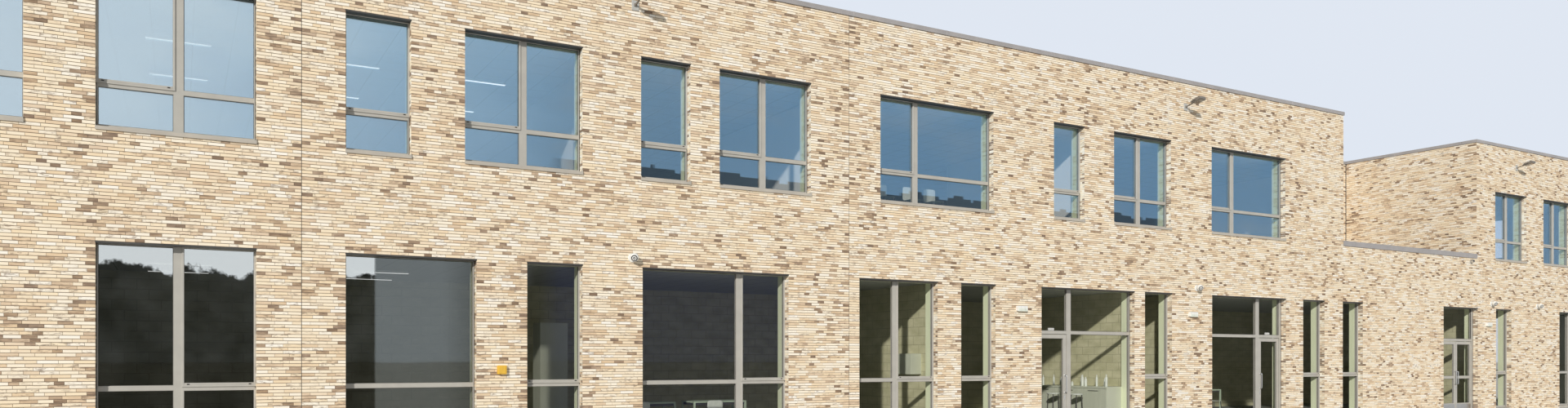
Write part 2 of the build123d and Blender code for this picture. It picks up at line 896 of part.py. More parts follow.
# Chairs with a bent seat shell, some put up on tables, and round stools along the counter
chairs = [(*behind(front_ground, place), floor_top) for place in ground_seats]
for index, along, inwards in upper_tables[:2]:
    for shift in upper_table_seats:
        centre = behind(front_upper, (index, along + shift, inwards))
        chairs.append((*centre, upper_floor_top + table_height))
stools = [
    (counter_front - stool_distance, inside_front + place, floor_top)
    for place in stool_places
]
half_seat = seat_size / 2
with BuildPart() as seats:
    for centre_x, centre_y, level in chairs:
        shell_plane = Plane(
            origin=(centre_x - half_seat, centre_y, level),
            x_dir=(0, 1, 0),
            z_dir=(1, 0, 0),
        )
        with BuildSketch(shell_plane):
            with BuildLine():
                Polyline(
                    (-half_seat, seat_rise),
                    (half_seat, seat_rise),
                    (half_seat, seat_back_rise),
                    (half_seat - seat_shell, seat_back_rise),
                    (half_seat - seat_shell, seat_rise + seat_shell),
                    (-half_seat, seat_rise + seat_shell),
                    close=True,
                )
            make_face()
        extrude(amount=seat_size)
        with BuildSketch(Plane.XY.offset(level)):
            with Locations((centre_x, centre_y)):
                with GridLocations(seat_size - seat_leg, seat_size - seat_leg, 2, 2):
                    Rectangle(seat_leg, seat_leg)
        extrude(amount=seat_rise)
    for centre_x, centre_y, level in stools:
        with BuildSketch(Plane.XY.offset(level + table_height - table_top_thickness)):
            with Locations((centre_x, centre_y)):
                RegularPolygon(stool_radius, 12)
        extrude(amount=table_top_thickness)
        with BuildSketch(Plane.XY.offset(level)):
            with Locations((centre_x, centre_y)):
                with GridLocations(stool_radius, stool_radius, 2, 2):
                    Rectangle(seat_leg, seat_leg)
        extrude(amount=table_height - table_top_thickness)
pieces["seats"] = seats

# Floodlights: a plate on the wall, and an arm that rises to the tilted lamp head
floodlight_level = parapet_top - floodlight_drop
arm_run = Vector(1, 0).rotate(Axis.Z, floodlight_tilt)
arm_start = floodlight_plate[2]
arm_middle = arm_run * (arm_start + floodlight_arm_length / 2)
head_middle = arm_run * (arm_start + floodlight_arm_length + floodlight_head[1] / 2)
with BuildPart() as floodlights:
    for place in floodlight_places:
        lamp_plane = section_plane(front, beside(front_upper, place))
        with BuildSketch(lamp_plane):
            with Locations((floodlight_plate[2] / 2, floodlight_level)):
                Rectangle(floodlight_plate[2], floodlight_plate[1])
        extrude(amount=floodlight_plate[0] / 2, both=True)
        with BuildSketch(lamp_plane):
            with Locations((arm_middle.X, floodlight_level + arm_middle.Y)):
                Rectangle(floodlight_arm_length, floodlight_arm, rotation=floodlight_tilt)
        extrude(amount=floodlight_arm / 2, both=True)
        with BuildSketch(lamp_plane):
            with Locations((head_middle.X, floodlight_level + head_middle.Y)):
                Rectangle(floodlight_head[1], floodlight_head[2], rotation=floodlight_tilt)
        extrude(amount=floodlight_head[0] / 2, both=True)
pieces["floodlights"] = floodlights

# Cameras: a round plate, a neck and a ball, turned about an axis square to the wall
camera_level = ground_head + camera_rise
ball_start = camera_reach - (camera_ball_radius**2 - camera_neck_radius**2) ** 0.5
with BuildPart() as cameras:
    for place in camera_places:
        along = beside(front_ground, place)
        with BuildSketch(section_plane(front, along)):
            with BuildLine():
                Polyline(
                    (camera_reach + camera_ball_radius, camera_level),
                    (0, camera_level),
                    (0, camera_level + camera_plate_radius),
                    (camera_plate_thickness, camera_level + camera_plate_radius),
                    (camera_plate_thickness, camera_level + camera_neck_radius),
                    (ball_start, camera_level + camera_neck_radius),
                )
                ThreePointArc(
                    (ball_start, camera_level + camera_neck_radius),
                    (camera_reach, camera_level + camera_ball_radius),
                    (camera_reach + camera_ball_radius, camera_level),
                )
            make_face()
        revolve(axis=Axis((west_line + along, front_line, camera_level), (0, -1, 0)))
pieces["cameras"] = cameras

# Emergency lights beside the doors, and the small ones that stand on the door transoms inside
exit_light_back = front_line + reveal + frame_depth
exit_light_spans = (west_span, middle_span)
with BuildPart() as emergency_lights:
    with BuildSketch(front.plane):
        for place in emergency_light_places:
            level = ground_head - emergency_light_drop
            with Locations((beside(front_ground, place) - length / 2, level)):
                RectangleRounded(emergency_light_size[0], emergency_light_size[1], 8)
    extrude(amount=emergency_light_size[2])
    with BuildSketch(Plane.XY.offset(door_transom + half_frame)):
        for left, right in exit_light_spans:
            middle = west_line + (left + right) / 2
            plan_panel(
                middle - exit_light_size[0] / 2,
                middle + exit_light_size[0] / 2,
                exit_light_back - exit_light_size[2],
                exit_light_back,
            )
    extrude(amount=exit_light_size[1])
pieces["emergency_lights"] = emergency_lights

with BuildPart() as alarm_box:
    with BuildSketch(front.plane):
        with Locations((beside(front_ground, alarm_box_place) - length / 2, alarm_box_level)):
            RectangleRounded(alarm_box_size, alarm_box_size, 6)
    extrude(amount=alarm_box_depth)
pieces["alarm_box"] = alarm_box

with BuildPart() as overflow_spout:
    with BuildSketch(front.plane):
        with Locations((east_block_begin - spout_side - length / 2, spandrel_top - spout_drop)):
            Circle(spout_radius)
            Circle(spout_radius - spout_wall, mode=Mode.SUBTRACT)
    extrude(amount=spout_reach)
pieces["overflow_spout"] = overflow_spout

for name, piece in pieces.items():
    piece.part.label = name
    export_step(piece.part, f"parts/{name}.step")
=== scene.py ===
"""Looks of a brick school building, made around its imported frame.

The file is laid out as an add-on. Its settings are property groups, each group of pieces has an
operator, and a panel in the sidebar lists them. Lengths are in metres of the half-size model.
"""
import json
import math

import bpy
import numpy as np
from bpy.props import FloatProperty, FloatVectorProperty, IntProperty, PointerProperty
from bpy.types import Operator, Panel, PropertyGroup
from mathutils import Matrix, Vector

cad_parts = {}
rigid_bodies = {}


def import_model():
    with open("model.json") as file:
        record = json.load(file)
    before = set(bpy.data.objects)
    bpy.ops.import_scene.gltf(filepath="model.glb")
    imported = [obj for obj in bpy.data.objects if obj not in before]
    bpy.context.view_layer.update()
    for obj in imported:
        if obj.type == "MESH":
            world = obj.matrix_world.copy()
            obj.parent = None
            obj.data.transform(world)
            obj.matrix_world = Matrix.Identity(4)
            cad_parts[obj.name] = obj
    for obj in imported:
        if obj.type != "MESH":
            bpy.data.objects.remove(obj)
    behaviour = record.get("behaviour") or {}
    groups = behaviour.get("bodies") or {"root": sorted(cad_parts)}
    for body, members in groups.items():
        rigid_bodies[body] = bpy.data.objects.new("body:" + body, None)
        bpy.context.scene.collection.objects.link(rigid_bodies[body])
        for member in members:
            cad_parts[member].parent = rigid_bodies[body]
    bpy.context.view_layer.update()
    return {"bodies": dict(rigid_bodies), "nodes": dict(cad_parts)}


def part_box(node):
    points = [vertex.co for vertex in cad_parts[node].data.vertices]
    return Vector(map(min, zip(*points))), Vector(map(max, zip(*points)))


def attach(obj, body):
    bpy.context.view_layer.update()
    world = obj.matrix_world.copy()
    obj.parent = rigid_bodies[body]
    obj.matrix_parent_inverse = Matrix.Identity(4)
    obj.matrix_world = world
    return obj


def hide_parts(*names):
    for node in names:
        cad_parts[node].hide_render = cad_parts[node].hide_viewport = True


bl_info = {
    "name": "Brick School Building",
    "version": (1, 0, 0),
    "blender": (4, 5, 0),
    "location": "3D View > Sidebar > School",
    "description": "Brick skins, windows, doors, fittings and finishes of a school building",
    "category": "Object",
}

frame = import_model()
BODY = "building"
DOORS = [name for name in frame["bodies"] if name.endswith("_door")]
UP = Vector((0, 0, 1))

(WEST, FRONT_LINE, GROUND_HEAD), (EAST, _, UPPER_SILL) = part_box("front_spandrel")
BACK_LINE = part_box("back_spandrel")[1][1]
SET_BACK_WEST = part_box("set_back_west_wall")[1][0]
SET_BACK_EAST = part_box("set_back_east_wall")[0][0]
SET_BACK_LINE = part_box("set_back_rear_wall")[0][1]
_, LOW_COPING_BACK, LOW_COPING_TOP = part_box("low_coping")[1]
UPPER_HEAD, PARAPET_TOP, LOW_ROOF_TOP, ROOF_TOP, UPPER_FLOOR = (
    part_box(node)[1][2] for node in (
        "front_upper_piers", "front_parapets", "low_roof_deck", "link_roof_slab",
        "upper_floor_slab",
    )
)


def solids_of(node):
    """Lowest and highest corners of each separate solid of a CAD node."""
    mesh = frame["nodes"][node].data
    points = np.empty(len(mesh.vertices) * 3)
    mesh.vertices.foreach_get("co", points)
    points = points.reshape(-1, 3)
    _, same = np.unique(np.round(points, 5), axis=0, return_inverse=True)
    faces = np.array([tuple(polygon.vertices) for polygon in mesh.polygons])
    corners = same.ravel()[faces]
    label = np.arange(same.max() + 1)
    before = None
    while not np.array_equal(label, before):
        before = label.copy()
        np.minimum.at(label, corners, label[corners].min(1, keepdims=True))
    island = label[same.ravel()]
    groups = [points[island == number] for number in np.unique(island)]
    solids = [(Vector(group.min(0)), Vector(group.max(0))) for group in groups]
    return sorted(solids, key=lambda solid: tuple(round(value, 4) for value in solid[0]))


class Face:
    """An outside face. Local X runs to the right as seen from outside, local Y inwards."""

    def __init__(self, along, inward, line):
        self.along = Vector(along)
        self.inward = Vector(inward)
        self.origin = self.inward * line * (self.inward.x + self.inward.y)

    def matrix(self, left=0.0, inwards=0.0, level=0.0):
        """Places a shape made in local directions at a place on the face."""
        place = self.origin + self.along * left + self.inward * inwards + UP * level
        turned = Matrix((self.along, self.inward, UP)).transposed().to_4x4()
        return Matrix.Translation(place) @ turned

    def local_box(self, low, high):
        """Left, right, near, far, bottom and top of a box, in local directions."""
        places = sorted((corner - self.origin).dot(self.along) for corner in (low, high))
        depths = sorted((corner - self.origin).dot(self.inward) for corner in (low, high))
        return (*places, *depths, low.z, high.z)


OUTSIDE = {
    "front": Face((1, 0, 0), (0, 1, 0), FRONT_LINE),
    "back": Face((-1, 0, 0), (0, -1, 0), BACK_LINE),
    "west": Face((0, -1, 0), (1, 0, 0), WEST),
    "east": Face((0, 1, 0), (-1, 0, 0), EAST),
}


def local_solids(node):
    """Each thin upright solid of a node, as the name of its face and its box on that face."""
    named = []
    for low, high in solids_of(node):
        if high.x - low.x > high.y - low.y:
            name = "front" if low.y < 0 else "back"
        else:
            name = "west" if low.x < 0 else "east"
        named.append((name, OUTSIDE[name].local_box(low, high)))
    return named


def openings_of(name):
    """Openings on a face, from their lintels: left, right, bottom, top and reveal depth."""
    rows = []
    for face_name, (left, right, near, far, bottom, top) in local_solids("window_lintels"):
        if face_name == name:
            rows.append((left, right, 0.0 if top < UPPER_FLOOR else UPPER_SILL, top, far))
    return sorted(rows)


# Settings


def length(name, description, default):
    """A setting that is a length."""
    return FloatProperty(name=name, description=description, default=default, unit="LENGTH")


def angle(name, description, degrees):
    """A setting that is an angle."""
    return FloatProperty(
        name=name, description=description, default=math.radians(degrees), unit="ROTATION",
    )


def colour_setting(name, description, default):
    """A setting that is a colour."""
    return FloatVectorProperty(name=name, description=description, default=default, subtype="COLOR")


class BrickSettings(PropertyGroup):
    """Sizes of the bricks and their joints."""

    course: length("Course", "Height of a course with its joint", 0.025)
    joint: length("Bed joint", "Height of the bed joints", 0.005)
    head_joint: length("Head joint", "Width of the joints between the bricks of a course", 0.0026)
    proud: length("Proud", "How far the bricks stand out of the mortar", 0.0023)
    unevenness: length("Unevenness", "How far a brick's corners stray", 0.00015)
    long_brick: length("Long brick", "Length of a whole brick", 0.12)
    seed: IntProperty(name="Seed", description="Start of the random draws", default=7)


class WindowSettings(PropertyGroup):
    """Sections of the window profiles."""

    bead: length("Bead", "Width of the glazing beads", 0.0025)
    gasket: length("Gasket", "Visible width of the glazing gaskets", 0.0025)
    sash: length("Sash", "Width of an opening sash's profile", 0.016)
    sash_rail: length("Sash rail", "Height of a sash's bottom rail", 0.031)
    proud: length("Proud", "How far a sash stands out of its frame", 0.008)


class StageSettings(PropertyGroup):
    """Light and floor."""

    sun: FloatProperty(name="Sun", description="Strength of the sun lamp", default=3.2)
    sun_height: angle("Sun height", "Height of the sun over the horizon", 22)
    sun_side: angle("Sun side", "Angle from square on to the front, towards the west", 44)
    sky: FloatProperty(name="Sky", description="Strength of the sky's light", default=0.36)
    sky_colour: colour_setting("Sky colour", "Pale background", (0.745, 0.8, 0.89))
    floor_colour: colour_setting("Floor colour", "Plain floor", (0.66, 0.66, 0.65))


class SchoolSettings(PropertyGroup):
    """All settings of the building."""

    bricks: PointerProperty(type=BrickSettings)
    windows: PointerProperty(type=WindowSettings)
    stage: PointerProperty(type=StageSettings)


# Modelling helpers


def start_clean():
    """Deselects everything, so that what follows acts on the new piece alone."""
    if bpy.context.object and bpy.context.object.mode != "OBJECT":
        bpy.ops.object.mode_set(mode="OBJECT")
    bpy.ops.object.select_all(action="DESELECT")


def settled(scale=(1, 1, 1)):
    """The new primitive at this size, with its place, turn and size put into its mesh."""
    piece = bpy.context.object
    piece.scale = scale
    bpy.ops.object.transform_apply(location=True, rotation=True, scale=True)
    return piece


def edit(action):
    """Enters edit mode with all or nothing selected."""
    bpy.ops.object.mode_set(mode="EDIT")
    bpy.ops.mesh.select_all(action=action)


def select_where(piece, kind, test):
    """Enters edit mode with only the faces or edges selected that pass a test."""
    edit("DESELECT")
    bpy.ops.object.mode_set(mode="OBJECT")
    for element in getattr(piece.data, kind):
        element.select = test(element)
    bpy.ops.object.mode_set(mode="EDIT")


def extrude(move):
    """Extrudes what is selected."""
    bpy.ops.mesh.extrude_region_move(TRANSFORM_OT_translate={"value": move})


def ease_edges(piece, width, segments=1):
    """Bevels the sharp edges of a piece."""
    if width <= 0:
        return
    bevel = piece.modifiers.new("eased edges", "BEVEL")
    bevel.width = width
    bevel.segments = segments
    bevel.limit_method = "ANGLE"
    bpy.context.view_layer.objects.active = piece
    bpy.ops.object.modifier_apply(modifier=bevel.name)


def block(low, high, edge=0.0, segments=1):
    """A block between two corners, with eased edges."""
    start_clean()
    low, high = Vector(low), Vector(high)
    bpy.ops.mesh.primitive_cube_add(size=1, location=(low + high) / 2)
    piece = settled(high - low)
    ease_edges(piece, edge, segments)
    return piece


def ring(width, height, border, near, far, edge=0.0):
    """An upright rectangular ring from the origin to the right and up, with eased edges."""
    start_clean()
    bpy.ops.mesh.primitive_plane_add(
        size=1, location=(width / 2, near, height / 2), rotation=(math.pi / 2, 0, 0),
    )
    piece = settled((width, height, 1))
    edit("SELECT")
    bpy.ops.mesh.inset(thickness=border)
    bpy.ops.mesh.delete(type="FACE")
    bpy.ops.mesh.select_all(action="SELECT")
    extrude((0, far - near, 0))
    bpy.ops.mesh.select_all(action="SELECT")
    bpy.ops.mesh.normals_make_consistent(inside=False)
    bpy.ops.object.mode_set(mode="OBJECT")
    ease_edges(piece, edge)
    return piece


def rod(start, stop, radius, sides=12, edge=0.0):
    """A round bar between two points."""
    start_clean()
    start, stop = Vector(start), Vector(stop)
    run = stop - start
    bpy.ops.mesh.primitive_cylinder_add(
        vertices=sides, radius=radius, depth=run.length,
        location=(start + stop) / 2, rotation=run.to_track_quat("Z", "Y").to_euler(),
    )
    piece = settled()
    ease_edges(piece, edge)
    bpy.ops.object.shade_smooth_by_angle(angle=math.radians(40))
    return piece


def copy_at(model, matrix):
    """A copy of a model with its own mesh, placed by a matrix."""
    piece = model.copy()
    piece.data = model.data.copy()
    piece.data.transform(matrix)
    bpy.context.collection.objects.link(piece)
    return piece


def discard(*pieces):
    """Takes models away once their copies are made."""
    for piece in pieces:
        mesh = piece.data
        bpy.data.objects.remove(piece)
        bpy.data.meshes.remove(mesh)


def paint(piece, material):
    """Gives a piece one material."""
    piece.data.materials.clear()
    piece.data.materials.append(material)


def joined(pieces):
    """One object made of several."""
    start_clean()
    for piece in pieces:
        piece.select_set(True)
    bpy.context.view_layer.objects.active = pieces[0]
    if len(pieces) > 1:
        bpy.ops.object.join()
    return bpy.context.view_layer.objects.active


def fit(name, pieces, finish, body=BODY):
    """Joins pieces into one with this name, finishes it and lets it ride on its body."""
    whole = joined(pieces)
    whole.name = name
    whole.data.name = name
    paint(whole, FINISHES[finish])
    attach(whole, body)
    return whole


# Materials


def arithmetic(operation, swapped=False):
    """A method that adds a Math node on a value and what it meets, if anything."""
    def method(self, *others):
        return self.calculate(operation, *((*others, self) if swapped else (self, *others)))
    return method


class Link:
    """A value in a material. Arithmetic on it adds Math nodes."""

    __add__ = arithmetic("ADD")
    __radd__ = arithmetic("ADD", swapped=True)
    __sub__ = arithmetic("SUBTRACT")
    __rsub__ = arithmetic("SUBTRACT", swapped=True)
    __mul__ = arithmetic("MULTIPLY")
    __rmul__ = arithmetic("MULTIPLY", swapped=True)
    __truediv__ = arithmetic("DIVIDE")
    above = arithmetic("GREATER_THAN")
    below = arithmetic("LESS_THAN")
    sized = arithmetic("ABSOLUTE")
    part = arithmetic("FRACT")
    floor = arithmetic("FLOOR")

    def __init__(self, tree, socket):
        self.tree = tree
        self.socket = socket

    def calculate(self, operation, *values, clamp=False):
        """A Math node on this value and others."""
        settings = {"operation": operation, "use_clamp": clamp}
        return add_node(self.tree, "ShaderNodeMath", settings, dict(enumerate(values)))

    def limited(self):
        """The value kept between 0 and 1."""
        return self.calculate("ADD", self, 0.0, clamp=True)

    def between(self, low, high):
        """Rises from 0 at low to 1 at high."""
        return ((self - low) / (high - low)).limited()


def fill_sockets(node, sockets):
    """Sets or links the inputs of a node."""
    for key, value in sockets.items():
        if isinstance(value, Link):
            node.id_data.links.new(value.socket, node.inputs[key])
        else:
            node.inputs[key].default_value = value


def add_node(tree, kind, settings, sockets, output=0):
    """A node with its settings and the values or links of its sockets."""
    node = tree.nodes.new(kind)
    for name, value in settings.items():
        if name == "stops":
            elements = node.color_ramp.elements
            while len(elements) < len(value):
                elements.new(1.0)
            for element, (place, colour) in zip(elements, value):
                element.position = place
                element.color = (*colour, 1.0)
        else:
            setattr(node, name, value)
    fill_sockets(node, sockets)
    return Link(tree, node.outputs[output])


FINISHES = {}


class Finish:
    """A material that is being built on its Principled shader."""

    def __init__(self, name, constants):
        self.name = name
        self.material = bpy.data.materials.new(name)
        self.material.use_nodes = True
        self.tree = self.material.node_tree
        self.surface = self.tree.nodes["Principled BSDF"]
        fill_sockets(self.surface, constants)
        self.place = self.node("ShaderNodeTexCoord", {}, {}, "Object")

    def node(self, *details):
        """A node of this material."""
        return add_node(self.tree, *details)

    def axes(self, vector):
        """X, Y and Z of a vector."""
        x = self.node("ShaderNodeSeparateXYZ", {}, {"Vector": vector}, "X")
        outputs = x.socket.node.outputs
        return x, Link(self.tree, outputs["Y"]), Link(self.tree, outputs["Z"])

    def noise(self, scale, detail=2.0, roughness=0.5):
        """Soft noise on the object, around 0.5. A scale of three numbers stretches it."""
        place = self.place
        if isinstance(scale, tuple):
            settings = {"operation": "MULTIPLY"}
            place = self.node("ShaderNodeVectorMath", settings, {0: place, 1: scale})
            scale = 1.0
        sockets = {"Vector": place, "Scale": scale, "Detail": detail, "Roughness": roughness}
        return self.node("ShaderNodeTexNoise", {}, sockets)

    def ramp(self, value, stops):
        """A colour for each value."""
        return self.node("ShaderNodeValToRGB", {"stops": stops}, {"Fac": value})

    def mixed(self, factor, first, second, blend="MIX"):
        """A mix of two colours."""
        sockets = {0: factor}
        for index, colour in ((6, first), (7, second)):
            sockets[index] = colour if isinstance(colour, Link) else (*colour, 1.0)
        settings = {"data_type": "RGBA", "blend_type": blend}
        return self.node("ShaderNodeMix", settings, sockets, 2)

    def done(self, colour, bump=None, **more):
        """Links the colour, a bump of height, distance and strength, and more sockets."""
        links = {"Base Color": colour, **{name.title(): link for name, link in more.items()}}
        if bump:
            sockets = dict(zip(("Height", "Distance", "Strength"), bump))
            links["Normal"] = self.node("ShaderNodeBump", {}, sockets)
        fill_sockets(self.surface, links)
        FINISHES[self.name] = self.material


BRICK_TONES = (
    (0.0, (0.24, 0.175, 0.13)),
    (0.08, (0.42, 0.315, 0.23)),
    (0.2, (0.7, 0.56, 0.415)),
    (0.36, (0.825, 0.7, 0.535)),
    (0.6, (0.87, 0.78, 0.63)),
    (0.84, (0.895, 0.84, 0.735)),
    (1.0, (0.92, 0.895, 0.835)),
)
# Tones of the painted sky reflection in the upper glass, from west to east
SKY_REFLECTION_TONES = (
    (0.0, (0.86, 0.95, 0.96)),
    (0.28, (0.8, 0.92, 0.94)),
    (0.5, (0.56, 0.79, 0.92)),
    (0.7, (0.43, 0.73, 0.96)),
    (1.0, (0.36, 0.7, 1.0)),
)
UPPER_WHITE = (0.88, 0.9, 0.85)
PLASTER = (0.62, 0.63, 0.55)
MEMBRANE = (0.2, 0.2, 0.205)
GLASS = {"Metallic": 1.0, "Roughness": 0.02}


def brick_finish():
    """Fired brick: each brick has its own tone, and some are flashed dark in patches."""
    finish = Finish("brick", {"Roughness": 0.9, "Specular IOR Level": 0.2})
    drawn = finish.node("ShaderNodeAttribute", {"attribute_name": "brick"}, {}, "Color")
    tone, tint, flash = finish.axes(drawn)
    streaks = finish.noise((11.0, 11.0, 60.0), 3.0, 0.6)
    clusters = finish.noise((1.6, 1.6, 2.4), 3.0, 0.6)
    shade = tone + (streaks - 0.5) * 0.34 + (clusters - 0.5) * 0.2
    cast = finish.mixed(tint, (1.0, 0.985, 0.97), (1.0, 0.94, 0.84))
    toned = finish.mixed(1.0, finish.ramp(shade, BRICK_TONES), cast, "MULTIPLY")
    spots = finish.noise((20.0, 20.0, 66.0), 3.0, 0.6)
    burnt = (flash + (clusters - 0.5) * -0.5).between(0.45, 0.85)
    flashed = (spots.between(0.5, 0.62) * burnt * 0.66).limited()
    rough = finish.noise(420.0, 3.0, 0.7) * 0.5 + finish.noise(60.0) * 0.5
    finish.done(finish.mixed(flashed, toned, (0.235, 0.165, 0.12)), (rough, 0.0007, 0.5))


def wall_finish():
    """Wall core: brown mortar outside, plaster inside and roofing membrane on the parapets."""
    finish = Finish("wall_core", {"Roughness": 0.95, "Specular IOR Level": 0.15})
    x, y, z = finish.axes(finish.place)
    rim = 0.006
    outside = x.sized().above(EAST - rim) + y.sized().above(BACK_LINE - rim)
    terrace = (
        x.above(SET_BACK_WEST - rim) * x.below(SET_BACK_EAST + rim)
        * y.below(SET_BACK_LINE + rim) * z.above(LOW_ROOF_TOP)
    )
    sand = finish.noise(3.0, 3.0, 0.6)
    mortar = finish.mixed(sand, (0.2, 0.155, 0.115), (0.3, 0.24, 0.18))
    inside = finish.mixed(sand.between(0.3, 0.7), PLASTER, (0.55, 0.57, 0.5))
    storeys = finish.mixed(z.above(UPPER_FLOOR), inside, UPPER_WHITE)
    roofed = finish.mixed(z.above(ROOF_TOP - rim), storeys, MEMBRANE)
    colour = finish.mixed((outside + terrace).limited(), roofed, mortar)
    finish.done(colour, (finish.noise(240.0, 3.0, 0.7), 0.0015))


def metal_finish(name, colour, dark, roughness):
    """Coated metal with faint cloudy marks and a fine orange-peel skin."""
    finish = Finish(name, {})
    clouds = finish.noise(6.0, 4.0, 0.6)
    marked = finish.mixed(clouds.between(0.25, 0.75), dark, colour)
    skin = (finish.noise(900.0, 1.0), 0.0002, 0.4)
    finish.done(marked, skin, roughness=clouds * 0.2 + (roughness - 0.1))


def brushed_finish():
    """Brushed stainless steel, brushed along its height."""
    finish = Finish("brushed_steel", {"Metallic": 1.0})
    strokes = finish.noise((900.0, 900.0, 12.0))
    colour = finish.mixed(strokes, (0.5, 0.5, 0.5), (0.68, 0.68, 0.67))
    finish.done(colour, (strokes, 0.0002, 0.3), roughness=strokes * 0.18 + 0.22)


def rubber_finish():
    """Black glazing rubber with a dusty bloom."""
    finish = Finish("gasket_rubber", {"Roughness": 0.75})
    bloom = finish.noise(30.0, 3.0)
    finish.done(finish.mixed(bloom, (0.012, 0.012, 0.012), (0.045, 0.044, 0.042)))


def upper_glass_finish():
    """Coated sealed units with a painted reflection in their colour: a blue sky with clouds, paler and
    denser to the west, over a dark stepped band of painted roof reflection along the foot.
    """
    finish = Finish("upper_glass", GLASS)
    x, y, z = finish.axes(finish.place)
    # The blue, the clouds and the paling towards the foot are a painted reflection of the sky
    cloud_reflection_wisps = finish.noise((0.55, 0.55, 1.6), 4.0, 0.6)
    height = z.between(UPPER_SILL, UPPER_HEAD)
    run = (x + (cloud_reflection_wisps - 0.5) * 2.0 - height * 0.6).between(WEST, WEST + 7.4)
    cloud_reflection_veil = (1 - height) * 0.14 + cloud_reflection_wisps.between(0.5, 0.75) * 0.4
    painted_sky_reflection = finish.mixed(cloud_reflection_veil.limited(), finish.ramp(run, SKY_REFLECTION_TONES), (0.78, 0.9, 0.96))
    # A dark stepped band along the foot of the glass, between two places, is a painted reflection of
    # roofs
    reflection_band_west, reflection_band_east, fade = -7.2, 0.6, 0.3
    steps = (finish.noise((3.0, 3.0, 0.1)) * 7).floor() * 0.03
    foot = (steps + (UPPER_SILL + 0.05) - z).between(0.0, 0.008)
    foot = foot * x.between(reflection_band_west, reflection_band_west + fade)
    foot = foot * (1 - x.between(reflection_band_east, reflection_band_east + fade))
    colour = finish.mixed(foot * 0.85, painted_sky_reflection, (0.07, 0.095, 0.11))
    density = 0.7 - run.between(0.25, 0.75) * 0.48
    finish.done(colour, (finish.noise(1.3, 1.0), 0.004, 0.25), alpha=density)


def ground_glass_finish():
    """Coated sealed units with a painted reflection in their colour: dark mottled tones with a pale
    patch and a bluish stretch, under a painted strip of sky at the west.
    """
    finish = Finish("ground_glass", GLASS)
    x, y, z = finish.axes(finish.place)
    reflection_mottle = finish.noise((3.0, 3.0, 2.4), 5.0, 0.65)
    west_end, hall_end = WEST + 5.2, -4.3
    west_part = 1 - x.between(west_end - 0.8, west_end)
    hall_part = x.between(west_end, west_end + 0.2) * (1 - x.between(hall_end, hall_end + 0.3))
    # The dark tones, the bluish stretch by the hall and the pale patch are all painted reflection
    dark = finish.mixed(reflection_mottle.between(0.35, 0.7), (0.02, 0.021, 0.017), (0.08, 0.08, 0.068))
    dark = finish.mixed(hall_part, dark, (0.055, 0.065, 0.13))
    pale = x.between(WEST + 3.86, WEST + 3.88) * (1 - x.between(WEST + 4.75, WEST + 4.8))
    painted_reflection = finish.mixed(pale * west_part * 0.9, dark, (0.32, 0.34, 0.32))
    # The strip is a painted reflection of sky over a jagged line of treetops
    reflected_skyline = z + (reflection_mottle - 0.5) * 0.5 + (x - WEST) * 0.02
    strip = reflected_skyline.between(1.55, 1.58) * west_part * (1 - pale)
    density = strip * 0.4 + west_part * 0.35 + hall_part * 0.06 + 0.08
    finish.done(
        finish.mixed(strip, painted_reflection, (0.9, 0.9, 0.83)),
        (finish.noise(1.3, 1.0), 0.004, 0.25), alpha=density.limited(),
    )


def ceiling_finish(name, colour, dark):
    """Mineral ceiling boards in a grid of narrow grooves, with fine pinholes."""
    finish = Finish(name, {"Roughness": 0.9})
    x, y, z = finish.axes(finish.place)
    board = 0.3
    groove = (x / board).part().below(0.025) + (y / board).part().below(0.025)
    groove = groove.limited()
    pins = finish.noise(160.0).between(0.62, 0.7)
    plain = finish.mixed(pins * 0.5, colour, dark)
    finish.done(finish.mixed(groove, plain, dark), (1 - groove - pins * 0.4, 0.002))


def block_wall_finish():
    """Cross walls: painted concrete blocks on the ground floor, white plaster above."""
    finish = Finish("block_walls", {"Roughness": 0.9})
    x, y, z = finish.axes(finish.place)
    course, stretcher = 0.1, 0.2
    row = z / course
    shift = (row.floor() * 0.5).part()
    joint = row.part().below(0.05) + ((x + y) / stretcher + shift).part().below(0.025)
    joint = joint.limited()
    patches = finish.noise((5.0, 5.0, 10.0))
    plain = finish.mixed(patches.between(0.3, 0.7), (0.5, 0.485, 0.3), (0.64, 0.62, 0.41))
    jointed = finish.mixed(joint, plain, (0.4, 0.385, 0.25))
    white = finish.mixed(patches, UPPER_WHITE, (0.92, 0.93, 0.88))
    colour = finish.mixed(z.above(GROUND_HEAD), jointed, white)
    finish.done(colour, (1 - joint * z.below(GROUND_HEAD), 0.002))


def floor_finish():
    """Floor slabs in flecked grey-green linoleum."""
    finish = Finish("slabs", {})
    flecks = finish.noise(70.0, 5.0, 0.8)
    cloud = finish.noise(2.0, 3.0)
    lino = finish.mixed(flecks.between(0.35, 0.65), (0.2, 0.22, 0.19), (0.3, 0.32, 0.28))
    colour = finish.mixed(cloud * 0.4, lino, (0.36, 0.36, 0.34))
    finish.done(colour, (flecks, 0.0006, 0.4), roughness=cloud * 0.3 + 0.4)


def roofing_finish():
    """Roofing membrane in lapped strips, weathered in cloudy patches."""
    finish = Finish("roofing", {"Roughness": 0.85})
    x, y, z = finish.axes(finish.place)
    strip = 0.5
    lap = (x / strip).part()
    cloud = finish.noise(1.6, 5.0, 0.65)
    grit = finish.noise(300.0, 2.0, 0.7)
    sheet = finish.mixed(cloud.between(0.3, 0.7), (0.16, 0.16, 0.16), (0.29, 0.285, 0.28))
    worn = finish.mixed(grit * 0.35, sheet, (0.4, 0.4, 0.39))
    colour = finish.mixed(lap.below(0.03) * 0.6, worn, (0.09, 0.09, 0.09))
    finish.done(colour, (lap.between(0.0, 0.03) * 2.0 + grit * 0.3, 0.003))


